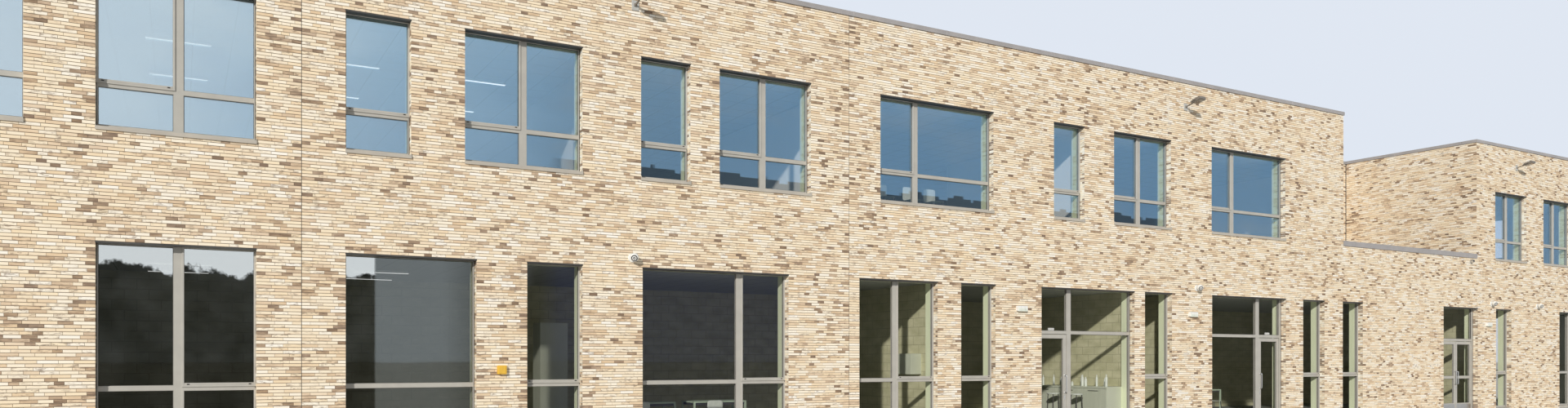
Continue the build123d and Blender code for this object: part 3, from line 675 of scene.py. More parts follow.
def board_finish(name, colour, dark):
    """Lacquered board with a soft grain."""
    finish = Finish(name, {})
    lines = finish.noise((4.0, 30.0, 3.0), 5.0, 0.65)
    grained = finish.mixed(lines.between(0.3, 0.7), dark, colour)
    finish.done(grained, (lines, 0.0008, 0.4), roughness=lines * 0.2 + 0.38)


def plastic_finish(name, colour, dark):
    """Moulded plastic, a little dirty where water runs off."""
    finish = Finish(name, {})
    grime = finish.noise((40.0, 40.0, 12.0), 4.0, 0.6)
    dirty = finish.mixed(grime.between(0.5, 0.85), colour, dark)
    skin = (finish.noise(1200.0, 1.0), 0.0002, 0.3)
    finish.done(dirty, skin, roughness=grime * 0.2 + 0.45)


def lamp_finish():
    """Opal lamp cover, lit from inside."""
    finish = Finish("opal_lamp", {"Roughness": 0.4, "Emission Strength": 1.6})
    colour = finish.mixed(finish.noise(6.0, 1.0), (0.95, 0.96, 0.93), (0.86, 0.88, 0.86))
    finish.done(colour, **{"Emission Color": colour})


def lens_finish():
    """Clear lamp or camera lens over a dark inside."""
    finish = Finish("lens", {"Roughness": 0.05, "Coat Weight": 1.0})
    finish.done(finish.mixed(finish.noise(60.0), (0.01, 0.011, 0.013), (0.06, 0.065, 0.075)))


def stage_finish(name, colour):
    """Plain matt surface for the floor."""
    finish = Finish(name, {"Roughness": 0.9, "Specular IOR Level": 0.2})
    shade = tuple(value * 0.97 for value in colour)
    finish.done(finish.mixed(finish.noise(0.4), colour, shade))


MATERIALS = (
    (brick_finish,), (wall_finish,), (brushed_finish,), (rubber_finish,), (upper_glass_finish,),
    (ground_glass_finish,), (block_wall_finish,), (floor_finish,), (roofing_finish,),
    (lamp_finish,), (lens_finish,),
    (metal_finish, "window_frame", (0.467, 0.45, 0.405), (0.39, 0.375, 0.34), 0.42),
    (metal_finish, "coping_metal", (0.38, 0.36, 0.355), (0.3, 0.285, 0.28), 0.5),
    (metal_finish, "sill_metal", (0.5, 0.46, 0.395), (0.4, 0.37, 0.32), 0.45),
    (metal_finish, "slate_plate", (0.07, 0.066, 0.06), (0.035, 0.034, 0.032), 0.5),
    (metal_finish, "lamp_body", (0.24, 0.215, 0.185), (0.13, 0.115, 0.1), 0.45),
    (metal_finish, "pale_plate", (0.52, 0.52, 0.49), (0.4, 0.4, 0.38), 0.45),
    (metal_finish, "dark_tube", (0.09, 0.085, 0.08), (0.05, 0.048, 0.045), 0.35),
    (ceiling_finish, "ground_ceiling", (0.4, 0.42, 0.38), (0.16, 0.17, 0.15)),
    (ceiling_finish, "upper_ceiling", (0.7, 0.72, 0.7), (0.4, 0.42, 0.4)),
    (board_finish, "window_lining", (0.86, 0.92, 0.66), (0.78, 0.84, 0.58)),
    (board_finish, "laminate", (0.62, 0.65, 0.52), (0.54, 0.57, 0.45)),
    (board_finish, "table_top", (0.5, 0.6, 0.45), (0.42, 0.52, 0.38)),
    (plastic_finish, "seat_shell", (0.7, 0.74, 0.66), (0.5, 0.54, 0.48)),
    (plastic_finish, "white_plastic", (0.8, 0.8, 0.77), (0.6, 0.59, 0.56)),
    (plastic_finish, "yellow_plastic", (0.76, 0.46, 0.05), (0.5, 0.3, 0.05)),
)


def make_finishes():
    """Builds every material of the building once."""
    for make, *values in MATERIALS:
        make(*values)


# Bricks

LENGTH_SHARES = (1.0, 0.92, 0.83, 0.74, 0.62, 0.48)
LENGTH_CHANCES = (0.32, 0.2, 0.15, 0.11, 0.09, 0.13)
MOVEMENT_GAP = 0.005
STOREY_SPLIT = 2.2
MOVEMENT_JOINTS = {"front": (-9.18, -4.085), "back": (-4.085, 9.18), "west": (), "east": ()}
LONG_WALLS = {
    "front": ("front_ground_piers", "front_spandrel", "front_upper_piers", "front_parapets"),
    "back": ("back_ground_piers", "back_spandrel", "back_upper_piers", "back_parapet"),
}
END_WALLS = ("end_ground_piers", "end_spandrels", "end_upper_piers", "end_parapets")


class Skin:
    """The bricks of one piece, gathered patch by patch. Short ones are the darkest."""

    quads = ((0, 1, 2, 3), (1, 5, 6, 2), (4, 0, 3, 7), (3, 2, 6, 7), (4, 5, 1, 0))
    sides = np.array((-1.0, 1.0, 1.0, -1.0))
    ups = np.array((-1.0, -1.0, 1.0, 1.0))
    strips = 3
    # How far the depths of the faces stray, and how far the rear corners spread
    depth_stray = 0.0005
    splay = 0.0004
    # Shares of a whole brick that count as short and as long
    short_share = 0.625
    long_share = 0.9375
    # How much darker short bricks get, and how pale the darkest long ones are
    darkness = 0.45
    paleness = 0.17

    def __init__(self, settings, seed):
        self.settings = settings
        self.random = np.random.default_rng(settings.seed + seed)
        self.corners = []
        self.places = []
        self.tones = []
        self.run = 0.0

    def reserve(self, width):
        """Keeps a stretch of the texture for a patch."""
        start = self.run
        self.run += width + 0.02
        return start

    def add(self, patch, start, left, right, level):
        """Bricks of a patch, given its origin and directions and its start in the texture."""
        origin, along, outward = (np.array(vector) for vector in patch)
        settings = self.settings
        count = len(left)
        stray = self.random.normal(0.0, settings.unevenness, (count, 4, 3))
        proud = settings.proud + self.random.normal(0.0, self.depth_stray, count)
        bottom = level + settings.joint / 2
        top = level + settings.course - settings.joint / 2
        edge = np.stack([left, right, right, left], 1)
        height = np.stack([bottom, bottom, top, top], 1)
        near = origin + edge[..., None] * along + height[..., None] * np.array(UP)
        fronts = near + proud[:, None, None] * outward + stray
        spread = self.sides[:, None] * along + self.ups[:, None] * np.array(UP)
        self.corners.append(np.concatenate([fronts, near + spread * self.splay], 1))
        flat = np.stack([edge + start, height], 2)
        half_joints = np.array((settings.head_joint, settings.joint)) / 2
        wide = flat + np.stack([self.sides, self.ups], 1) * half_joints
        self.places.append(np.concatenate([flat, wide], 1))
        tones = self.random.random((count, 3))
        share = (right - left) / settings.long_brick - self.short_share
        long = np.clip(share / (self.long_share - self.short_share), 0.0, 1.0)
        tones[:, 0] **= 1 + self.darkness * (1 - long)
        tones[:, 0] += self.paleness * long * (1 - tones[:, 0])
        self.tones.append(tones)

    def piece(self, name):
        """Makes the mesh, with its tones and its own texture layout."""
        corners, places, tones = map(np.concatenate, (self.corners, self.places, self.tones))
        count = len(corners)
        order = (np.arange(count)[:, None, None] * 8 + np.array(self.quads)).ravel()
        mesh = bpy.data.meshes.new(name)
        mesh.vertices.add(count * 8)
        mesh.vertices.foreach_set("co", corners.ravel())
        mesh.loops.add(len(order))
        mesh.loops.foreach_set("vertex_index", order.astype(np.int32))
        mesh.polygons.add(count * 5)
        mesh.polygons.foreach_set("loop_start", np.arange(0, len(order), 4, dtype=np.int32))
        mesh.update(calc_edges=True)
        mesh.shade_flat()
        colours = mesh.attributes.new("brick", "FLOAT_COLOR", "POINT")
        rows = np.concatenate([tones, np.ones((count, 1))], 1)
        colours.data.foreach_set("color", np.repeat(rows, 8, 0).astype(np.float32).ravel())
        across, upward = places[..., 0], places[..., 1]
        share = self.run / self.strips
        strip = np.minimum((across.mean(1) / share).astype(int), self.strips - 1)[:, None]
        across = (across - (strip * share - 0.1)) / (share + 0.2)
        low = upward.min()
        upward = (upward - low + 0.005) / (upward.max() - low + 0.01)
        layout = np.stack([across, (strip + upward) / self.strips], 2).reshape(-1, 2)
        texture = mesh.uv_layers.new(name="OFBake")
        texture.data.foreach_set("uv", layout[order].astype(np.float32).ravel())
        piece = bpy.data.objects.new(name, mesh)
        bpy.context.collection.objects.link(piece)
        return fit(name, [piece], "brick")


def merged(spans):
    """Spans of wall with those that meet made one."""
    whole = []
    for start, stop in sorted(spans):
        if whole and start <= whole[-1][1] + 0.0005:
            whole[-1] = (whole[-1][0], max(stop, whole[-1][1]))
        else:
            whole.append((start, stop))
    return whole


def split_at(spans, breaks):
    """Spans cut by upright movement joints."""
    for place in breaks:
        cut = []
        for start, stop in spans:
            if start < place < stop:
                cut += [(start, place - MOVEMENT_GAP / 2), (place + MOVEMENT_GAP / 2, stop)]
            else:
                cut.append((start, stop))
        spans = cut
    return spans


def nearest_joint(joints, place):
    """Signed distance from a place to the nearest of a course's joints."""
    index = int(np.searchsorted(joints, place))
    near = joints[max(0, index - 1):index + 1] - place
    return float(near[np.argmin(np.abs(near))]) if len(near) else 1.0


def brick_joints(skin, start, stop, below, lower):
    """Joints of a stretch of a course, clear of those below and in no stair with those lower."""
    whole = skin.settings.long_brick + skin.settings.head_joint
    overlap = whole * 0.17
    shortest = whole * 0.35
    joints = [start]
    while stop - joints[-1] > whole * 1.05:
        best, reach = stop, -1.0
        for share in skin.random.choice(LENGTH_SHARES, 6, replace=False, p=LENGTH_CHANCES):
            ahead = joints[-1] + share * whole
            if stop - ahead < shortest:
                continue
            step = nearest_joint(below, ahead)
            stair = nearest_joint(lower, ahead + step) * step > 0
            held_back = 0.6 if stair and skin.random.random() < 0.6 else 1.0
            score = min(abs(step), overlap) * held_back
            if score > reach:
                best, reach = ahead, score
            if score >= overlap:
                break
        joints.append(best)
    return np.array([*joints, stop])


def lay_courses(skin, face, rectangles, breaks=()):
    """Bricks over rectangles of a face, each a left, right, bottom and top."""
    settings = skin.settings
    course = settings.course
    lefts, rights, bottoms, tops = zip(*rectangles)
    first = min(lefts)
    below = lower = np.array([first])
    rows = []

    def overhang(end):
        """How far the bricks turn the corner at an end that isn't a movement joint."""
        return 0.0 if any(abs(end - place) < 1e-6 for place in breaks) else settings.proud

    for number in range(round(min(bottoms) / course), round(max(tops) / course)):
        middle = (number + 0.5) * course
        spans = merged([(a, b) for a, b, low, high in rectangles if low < middle < high])
        laid = []
        for start, stop in split_at(spans, breaks):
            edges = brick_joints(skin, start, stop, below, lower)
            laid.append(edges[1:-1])
            left = edges[:-1] + settings.head_joint / 2
            right = edges[1:] - settings.head_joint / 2
            left[0] = start - overhang(start - MOVEMENT_GAP / 2)
            right[-1] = stop + overhang(stop + MOVEMENT_GAP / 2)
            rows.append((left, right, np.full(len(left), number * course)))
        below, lower = np.concatenate(laid), below
    patch = (face.origin, face.along, -face.inward)
    run = skin.reserve(max(rights) - first) - first
    skin.add(patch, run, *(np.concatenate(part) for part in zip(*rows)))


def lay_returns(skin, face, opening, depth):
    """Bricks on both jambs of an opening, back to the frame."""
    left, right, bottom, top = opening
    course = skin.settings.course
    half_joint = skin.settings.head_joint / 2
    whole = ((0.0, depth),)
    halves = ((0.0, depth / 2 - half_joint), (depth / 2 + half_joint, depth))
    rows = []
    for number in range(round(bottom / course), round(top / course)):
        for near, far in halves if number % 2 else whole:
            rows.append((near, far, number * course))
    near, far, level = np.array(rows).T
    for place, side in ((left, 1), (right, -1)):
        patch = (face.origin + face.along * place, face.inward * side, face.along * side)
        if side == 1:
            skin.add(patch, skin.reserve(depth), near, far, level)
        else:
            skin.add(patch, skin.reserve(depth) + depth, -far, -near, level)


def wall_rectangles(name, nodes, low, high):
    """Rectangles of wall on a face, kept between two levels."""
    rectangles = []
    for node in nodes:
        for solid in solids_of(node):
            left, right, near, far, bottom, top = OUTSIDE[name].local_box(*solid)
            if abs(near) < 0.001 and top > low and bottom < high:
                rectangles.append((left, right, max(bottom, low), min(top, high)))
    return rectangles


def end_rectangles(name):
    """An end face's walls, with the ends of the long walls beside them."""
    rectangles = wall_rectangles(name, END_WALLS, 0.0, PARAPET_TOP)
    inner = max(rectangle[1] for rectangle in rectangles)
    corners = ((-BACK_LINE, -inner), (inner, BACK_LINE))
    return rectangles + [(*corner, 0.0, PARAPET_TOP) for corner in corners]


def lay_set_back(skin):
    """Bricks on the three walls round the low roof."""
    coping_depth = LOW_COPING_BACK - FRONT_LINE
    depth = SET_BACK_LINE - FRONT_LINE
    west_end, east_end = FRONT_LINE, -SET_BACK_LINE
    sides = (
        (Face((0, 1, 0), (-1, 0, 0), SET_BACK_WEST), west_end, coping_depth, depth),
        (Face((0, -1, 0), (1, 0, 0), SET_BACK_EAST), east_end, 0.0, depth - coping_depth),
    )
    for face, start, low_from, low_to in sides:
        lay_courses(skin, face, [
            (start + low_from, start + low_to, LOW_ROOF_TOP, LOW_COPING_TOP),
            (start, start + depth, LOW_COPING_TOP, PARAPET_TOP),
        ])
    rear = Face((1, 0, 0), (0, 1, 0), SET_BACK_LINE)
    lay_courses(skin, rear, [(SET_BACK_WEST, SET_BACK_EAST, LOW_ROOF_TOP, PARAPET_TOP)])


class LayBricks(Operator):
    """Lays the brick skins of all faces, in courses of mixed lengths"""

    bl_idname = "school.lay_bricks"
    bl_label = "Lay bricks"

    def execute(self, context):
        settings = context.scene.school.bricks
        bands = (("_lower", 0.0, STOREY_SPLIT), ("_upper", STOREY_SPLIT, PARAPET_TOP))
        walls = [
            (name, *band, wall_rectangles(name, nodes, *band[1:]))
            for name, nodes in LONG_WALLS.items() for band in bands
        ]
        for name in ("west", "east"):
            walls.append((name, "", 0.0, PARAPET_TOP, end_rectangles(name)))
        for seed, (name, band, low, high, rectangles) in enumerate(walls, 1):
            skin = Skin(settings, seed)
            lay_courses(skin, OUTSIDE[name], rectangles, MOVEMENT_JOINTS[name])
            for left, right, foot, head, depth in openings_of(name):
                if low <= foot < high:
                    lay_returns(skin, OUTSIDE[name], (left, right, foot, head), depth)
            skin.piece(f"{name}_bricks{band}")
        skin = Skin(settings, len(walls) + 1)
        lay_set_back(skin)
        skin.piece("set_back_bricks")
        return {"FINISHED"}


# Windows and doors


class GlazeWindows(Operator):
    """Fits beads, gaskets, opening sashes and seals to every window"""

    bl_idname = "school.glaze_windows"
    bl_label = "Glaze windows"

    def execute(self, context):
        self.settings = settings = context.scene.school.windows
        self.rings = {
            "beads": (settings.bead, -0.009, 0.0, 0.0015),
            "gaskets": (settings.bead + settings.gasket, -0.0022, 0.0),
            "seals": (0.007, -0.003, 0.0),
        }
        self.models = {}
        for node in ("ground_window_glass", "upper_window_glass", "entrance_glass"):
            sets = {"beads": [], "gaskets": [], "sashes": [], "sash_caps": []}
            panes = local_solids(node)
            for name, box in panes:
                left, right, near, far, bottom, top = box
                opening = node != "entrance_glass" and self.opens(name, box, panes)
                for kind in list(sets) if opening else ("beads", "gaskets"):
                    model = self.model(kind, right - left, top - bottom)
                    sets[kind].append(copy_at(model, OUTSIDE[name].matrix(left, near, bottom)))
            for kind, pieces in sets.items():
                if pieces:
                    finish = "window_frame" if kind in ("beads", "sashes") else "gasket_rubber"
                    fit(node.replace("glass", kind), pieces, finish)
        seals = []
        for name in OUTSIDE:
            for left, right, foot, head, depth in openings_of(name):
                model = self.model("seals", round(right - left, 4), round(head - foot, 4))
                seals.append(copy_at(model, OUTSIDE[name].matrix(left, depth, foot)))
        fit("frame_seals", seals, "gasket_rubber")
        discard(*self.models.values())
        return {"FINISHED"}

    def opens(self, name, box, panes):
        """Whether a pane is the one-pane light of an upper row that opens."""
        left, right, near, far, bottom, top = box
        if top - bottom < 0.5 or right - left > 0.6:
            return False
        reach = 0.08
        for other_name, other in panes:
            if other_name == name and abs(other[4] - bottom) <= 0.01:
                beside = other[0] - right if top < UPPER_FLOOR else left - other[1]
                if 0 < beside < reach:
                    return False
        return True

    def model(self, kind, width, height):
        """The model of a piece for one size of pane, made at its first use."""
        key = (kind, round(width, 4), round(height, 4))
        if key not in self.models:
            front = -0.014 - self.settings.proud
            if kind == "sashes":
                self.models[key] = self.make_sash(width, height, front)
            elif kind == "sash_caps":
                self.models[key] = joined([
                    block((x - 0.009, front - 0.002, 0.004), (x + 0.009, front + 0.002, 0.012), 0.0015)
                    for x in (0.03, width - 0.03)
                ])
            else:
                self.models[key] = ring(width, height, *self.rings[kind])
        return self.models[key]

    def make_sash(self, width, height, front):
        """A sash that laps over its frame, with a deep bottom rail."""
        lap = 0.012
        back = -0.009
        sash = self.settings.sash
        outer = ring(width + 2 * lap, height + 2 * lap, sash, front, back, 0.002)
        outer.data.transform(Matrix.Translation((-lap, 0, -lap)))
        inner = sash - lap - 0.001
        rail_top = self.settings.sash_rail - lap
        rail = block((inner, front + 0.001, inner), (width - inner, back, rail_top), 0.002)
        return joined([outer, rail])


def fit_steel(door):
    """A kick plate, a lock plate with its cylinder, and roses where the pull is fixed."""
    low, high = (Vector(corner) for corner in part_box(f"{door}_leaf"))
    pull_low, pull_high = (Vector(corner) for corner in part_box(f"{door}_pull"))
    middle = (pull_low.x + pull_high.x) / 2
    radius = (pull_high.x - pull_low.x) / 2
    front = low.y
    margin = 0.02
    lock = pull_low.z - 0.05
    plates = [
        block(
            (low.x + margin, front - 0.0015, low.z + 0.012),
            (high.x - margin, front + 0.0005, low.z + 0.085), 0.0008,
        ),
        block(
            (middle - 0.009, front - 0.002, lock - 0.025),
            (middle + 0.009, front + 0.0005, lock + 0.02), 0.0012, 2,
        ),
        rod((middle, front - 0.005, lock), (middle, front, lock), 0.005, 16, 0.0006),
    ]
    roses = [
        rod((middle, front - 0.003, level), (middle, front, level), radius * 1.7, 24, 0.0008)
        for level in (pull_low.z + radius, pull_high.z - radius)
    ]
    fit(f"{door}_plates", plates, "brushed_steel", door)
    fit(f"{door}_roses", roses, "brushed_steel", door)


class DressDoors(Operator):
    """Fits beads, kick plates, locks and pull roses to the door leaves"""

    bl_idname = "school.dress_doors"
    bl_label = "Dress doors"

    def execute(self, context):
        settings = context.scene.school.windows
        for door in DOORS:
            beads, gaskets = [], []
            for low, high in solids_of(f"{door}_glass"):
                size = (high.x - low.x, high.z - low.z)
                beads.append(ring(*size, settings.bead, -0.007, 0.0, 0.0012))
                gaskets.append(ring(*size, settings.bead + settings.gasket, -0.002, 0.0))
                for piece in (beads[-1], gaskets[-1]):
                    piece.data.transform(Matrix.Translation(low))
            fit(f"{door}_beads", beads, "window_frame", door)
            fit(f"{door}_gaskets", gaskets, "gasket_rubber", door)
            fit_steel(door)
        return {"FINISHED"}


# Metalwork and lamps


def make_straps(node):
    """Cover straps over the joints of a coping."""
    spacing, cover, width = 1.25, 0.0015, 0.02
    straps = []
    for low, high in solids_of(node):
        axis = 0 if high.x - low.x > high.y - low.y else 1
        start, run = low[axis], high[axis] - low[axis]
        count = max(1, round(run / spacing))
        low[1 - axis] -= cover
        high[1 - axis] += cover
        high.z += cover
        low.z -= 0.003
        for index in range(1, count):
            low[axis] = start + run * index / count - width / 2
            high[axis] = low[axis] + width
            straps.append(block(low, high, 0.005))
    return straps


class TrimWalls(Operator):
    """Adds coping straps, sill ends, movement joints, and a dark strip of painted shade in a corner of
    the set-back
    """

    bl_idname = "school.trim_walls"
    bl_label = "Trim walls"

    def execute(self, context):
        straps = [*make_straps("parapet_coping"), *make_straps("low_coping")]
        fit("coping_straps", straps, "coping_metal")
        ends = []
        model = block((0, -0.014, 0), (0.004, 0.098, 0.034), 0.001)
        for name, (left, right, *_) in local_solids("upper_sills"):
            for place in (left + 0.001, right - 0.005):
                matrix = OUTSIDE[name].matrix(place, 0, UPPER_SILL - 0.002)
                ends.append(copy_at(model, matrix))
        discard(model)
        fit("sill_ends", ends, "sill_metal")
        strips = []
        for name, places in MOVEMENT_JOINTS.items():
            for place in places:
                strip = block((-0.0027, -0.0005, 0.0), (0.0027, 0.002, PARAPET_TOP), 0.0006)
                strip.data.transform(OUTSIDE[name].matrix(place))
                strips.append(strip)
        # This dark rubber strip in the set-back's rear east corner is painted shade: it stands in for
        # the shaded sliver of rear wall there and is not a joint
        strips.append(block(
            (SET_BACK_EAST - 0.0045, SET_BACK_LINE - 0.014, LOW_ROOF_TOP),
            (SET_BACK_EAST + 0.001, SET_BACK_LINE - 0.002, PARAPET_TOP), 0.001,
        ))
        fit("movement_joints", strips, "gasket_rubber")
        return {"FINISHED"}


# Half width, near, far, drop, rise, edge and segments of a floodlight's blocks
HEAD_BLOCKS = {
    "arm": (0.007, -0.13, -0.004, 0.007, 0.007, 0.002, 1),
    "collar": (0.014, -0.02, -0.006, 0.014, 0.014, 0.003, 1),
    "yoke": (0.062, -0.136, -0.126, 0.006, 0.006, 0.0015, 1),
    "body": (0.055, -0.272, -0.136, 0.014, 0.014, 0.006, 2),
    "rim": (0.058, -0.274, -0.134, 0.02, -0.012, 0.003, 1),
}
# Start and stop along a camera's look, radius, sides and edge of its rods
CAMERA_RODS = (
    ("housings", -0.024, 0.018, 0.037, 32, 0.006),
    ("housings", 0.018, 0.0225, 0.02, 28, 0.001),
    ("rings", 0.014, 0.0205, 0.029, 32, 0.001),
    ("lenses", 0.02, 0.025, 0.012, 24, 0.0015),
)


def make_head():
    """A floodlight's arm, collar, yoke, finned body and rim, level and at the origin."""
    parts = [
        block((-half, near, -drop), (half, far, rise), edge, segments)
        for half, near, far, drop, rise, edge, segments in HEAD_BLOCKS.values()
    ]
    for side in (-1, 1):
        cheek, bolt = side * 0.0625, -0.205
        parts.append(block((cheek - 0.003, -0.215, -0.005), (cheek + 0.003, -0.126, 0.005), 0.001))
        parts.append(rod((side * 0.052, bolt, 0), (side * 0.069, bolt, 0), 0.006, 12, 0.001))
    for index in range(9):
        fin = -0.048 + index * 0.012
        parts.append(block((fin - 0.0015, -0.262, 0.012), (fin + 0.0015, -0.146, 0.0245)))
    return parts


def fit_floodlights():
    """Floodlights: a wall plate with two screws, an arm, and a finned head in a yoke."""
    lean = Matrix.Rotation(-math.radians(14), 4, "X")
    plates, bodies, lenses = [], [], []
    for low, high in solids_of("floodlights"):
        x = (low.x + high.x) / 2
        wall = high.y
        level = low.z + 0.045
        plates.append(block(
            (x - 0.035, wall - 0.009, level - 0.045), (x + 0.035, wall, level + 0.045),
            0.003, 2,
        ))
        for side in (-0.025, 0.025):
            start = Vector((x + side, wall - 0.012, level + side))
            plates.append(rod(start, start + Vector((0, 0.012, 0)), 0.004, 6))
        head = make_head()
        lens = block((-0.05, -0.266, -0.023), (0.05, -0.142, -0.016), 0.002)
        for part in (*head, lens):
            part.data.transform(Matrix.Translation((x, wall, level)) @ lean)
        bodies += head
        lenses.append(lens)
    fitted = fit("floodlight_bodies", bodies, "lamp_body")
    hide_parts("floodlights")
    fit("floodlight_plates", plates, "pale_plate")
    fit("floodlight_lenses", lenses, "lens")


def fit_cameras():
    """Cameras: a round housing on each ball, turned down to the entrance, with its lens."""
    parts = {"housings": [], "rings": [], "lenses": []}
    look = Vector((-0.42, -0.8, -0.42)).normalized()
    for low, high in solids_of("cameras"):
        centre = Vector(((low.x + high.x) / 2, low.y + 0.026, (low.z + high.z) / 2))
        wall = Vector((centre.x, high.y, centre.z))
        parts["housings"].append(rod(wall - Vector((0, 0.012, 0)), wall, 0.04, 32, 0.003))
        for kind, start, stop, *section in CAMERA_RODS:
            parts[kind].append(rod(centre + look * start, centre + look * stop, *section))
    fit("camera_housings", parts["housings"], "white_plastic")
    fit("camera_rings", parts["rings"], "gasket_rubber")
    fit("camera_lenses", parts["lenses"], "lens")


class FitLamps(Operator):
    """Models the floodlights, cameras, emergency lights, alarm box and ceiling lamps"""

    bl_idname = "school.fit_lamps"
    bl_label = "Fit lamps"

    def execute(self, context):
        fit_floodlights()
        fit_cameras()
        lights = [solid for solid in solids_of("emergency_lights") if solid[1].x - solid[0].x >= 0.1]
        fit("emergency_covers", [
            block(
                low + Vector((0.008, -0.004, -0.002)),
                (high.x - 0.008, low.y + 0.012, low.z + 0.03), 0.003, 2,
            ) for low, high in lights
        ], "seat_shell")
        low, high = (Vector(corner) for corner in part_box("alarm_box"))
        lid = block(
            low + Vector((0.007, -0.003, 0.007)),
            (high.x - 0.007, low.y + 0.001, high.z - 0.007), 0.002, 2,
        )
        fit("alarm_box_lid", [lid], "yellow_plastic")
        fit("lamp_covers", [
            block(
                low + Vector((0.004, 0.004, -0.004)),
                (high.x - 0.004, high.y - 0.004, low.z + 0.003), 0.002, 2,
            ) for low, high in solids_of("ceiling_lights")
        ], "opal_lamp")
        return {"FINISHED"}


# Rooms behind the glass


def make_bottle(foot, radius, height):
    """A cup or bottle, with its shoulder drawn in."""
    start_clean()
    bpy.ops.mesh.primitive_cylinder_add(
        vertices=16, radius=radius, depth=height, location=foot + UP * height / 2,
    )
    piece = settled()
    select_where(piece, "polygons", lambda face: face.normal.z > 0.9)
    bpy.ops.mesh.inset(thickness=radius * 0.55)
    bpy.ops.transform.translate(value=(0, 0, height * 0.12))
    extrude((0, 0, height * 0.25))
    bpy.ops.object.mode_set(mode="OBJECT")
    bpy.ops.object.shade_smooth_by_angle(angle=math.radians(50))
    return piece


def detail_counter():
    """Door fronts, handles and a few things standing on the counter."""
    low, high = max(solids_of("kitchen_units"), key=lambda box: box[1].y - box[0].y)
    count = 4
    width = (high.y - low.y) / count
    face = low.x + 0.015
    level = high.z - 0.05
    fronts, handles = [], []
    for index in range(count):
        start = low.y + index * width
        fronts.append(block(
            (face - 0.009, start + 0.002, low.z + 0.055),
            (face - 0.001, start + width - 0.002, high.z - 0.024), 0.0015,
        ))
        handles.append(rod(
            (face - 0.018, start + width * 0.3, level),
            (face - 0.018, start + width * 0.7, level), 0.003, 8,
        ))
    fit("counter_fronts", fronts, "laminate")
    fit("counter_handles", handles, "brushed_steel")
    random = np.random.default_rng(3)
    things = []
    number = 14
    for index in range(number):
        across = low.x + 0.05 + random.random() * 0.2
        inward = low.y + 0.06 + index * (high.y - low.y - 0.1) / number
        radius = 0.012 + random.random() * 0.016
        height = 0.04 + random.random() * 0.09
        things.append(make_bottle(Vector((across, inward, high.z)), radius, height))
    fit("counter_things", things, "seat_shell")


SEAT_HEIGHT = 0.218


def make_shell(low, high):
    """A seat and back bent from one sheet, with rounded corners."""
    start_clean()
    centre = (low + high) / 2
    bpy.ops.mesh.primitive_plane_add(size=1, location=(centre.x, centre.y, low.z + SEAT_HEIGHT))
    piece = settled((high.x - low.x - 0.01, high.y - low.y - 0.01, 1))
    edit("SELECT")
    bpy.ops.mesh.subdivide(number_cuts=3)
    bpy.ops.object.mode_set(mode="OBJECT")
    points = piece.data.vertices
    back_line = max(point.co.y for point in points) - 0.001
    select_where(piece, "edges", lambda edge: all(
        points[index].co.y > back_line for index in edge.vertices
    ))
    for rise, lean in ((0.05, 0.004), (0.06, 0.0), (0.055, -0.004)):
        extrude((0, lean, rise))
    bpy.ops.object.mode_set(mode="OBJECT")
    solid = piece.modifiers.new("thickness", "SOLIDIFY")
    solid.thickness = 0.005
    solid.offset = 0
    smooth = piece.modifiers.new("rounding", "SUBSURF")
    smooth.levels = 1
    smooth.render_levels = 1
    for modifier in (solid, smooth):
        bpy.ops.object.modifier_apply(modifier=modifier.name)
    bpy.ops.object.shade_smooth()
    return piece


def detail_seats():
    """Chairs with curved shells on tube legs, and stools with round seats."""
    shells, legs = [], []
    for low, high in solids_of("seats"):
        centre = Vector(((low.x + high.x) / 2, (low.y + high.y) / 2, low.z))
        height = high.z - low.z
        chair = height > SEAT_HEIGHT * 1.75
        reach, top = (0.075, SEAT_HEIGHT - 0.005) if chair else (0.05, height - 0.012)
        if chair:
            shells.append(make_shell(low, high))
        else:
            seat = centre + UP * top
            shells.append(rod(seat - UP * 0.002, seat + UP * 0.014, 0.083, 28, 0.005))
        for across in (-reach, reach):
            for inward in (-reach, reach):
                foot = centre + Vector((across * 1.15, inward * 1.15, 0))
                head = centre + Vector((across * 0.9, inward * 0.9, top))
                legs.append(rod(foot, head, 0.0055, 10))
            if not chair:
                rail = centre + Vector((across, 0, top * 0.35))
                half = Vector((0, reach, 0))
                legs.append(rod(rail - half, rail + half, 0.004, 8))
    fitted = fit("seat_shells", shells, "seat_shell")
    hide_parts("seats")
    fit("seat_legs", legs, "dark_tube")


class FurnishRooms(Operator):
    """Details the counter, tables and seats behind the glass"""

    bl_idname = "school.furnish_rooms"
    bl_label = "Furnish rooms"

    def execute(self, context):
        detail_counter()
        detail_seats()
        fit("table_rails", [
            block(
                (low.x + 0.012, low.y + 0.012, high.z - 0.04),
                (high.x - 0.012, high.y - 0.012, high.z - 0.014), 0.002,
            ) for low, high in solids_of("tables")
        ], "dark_tube")
        return {"FINISHED"}


# Finishes on the CAD nodes

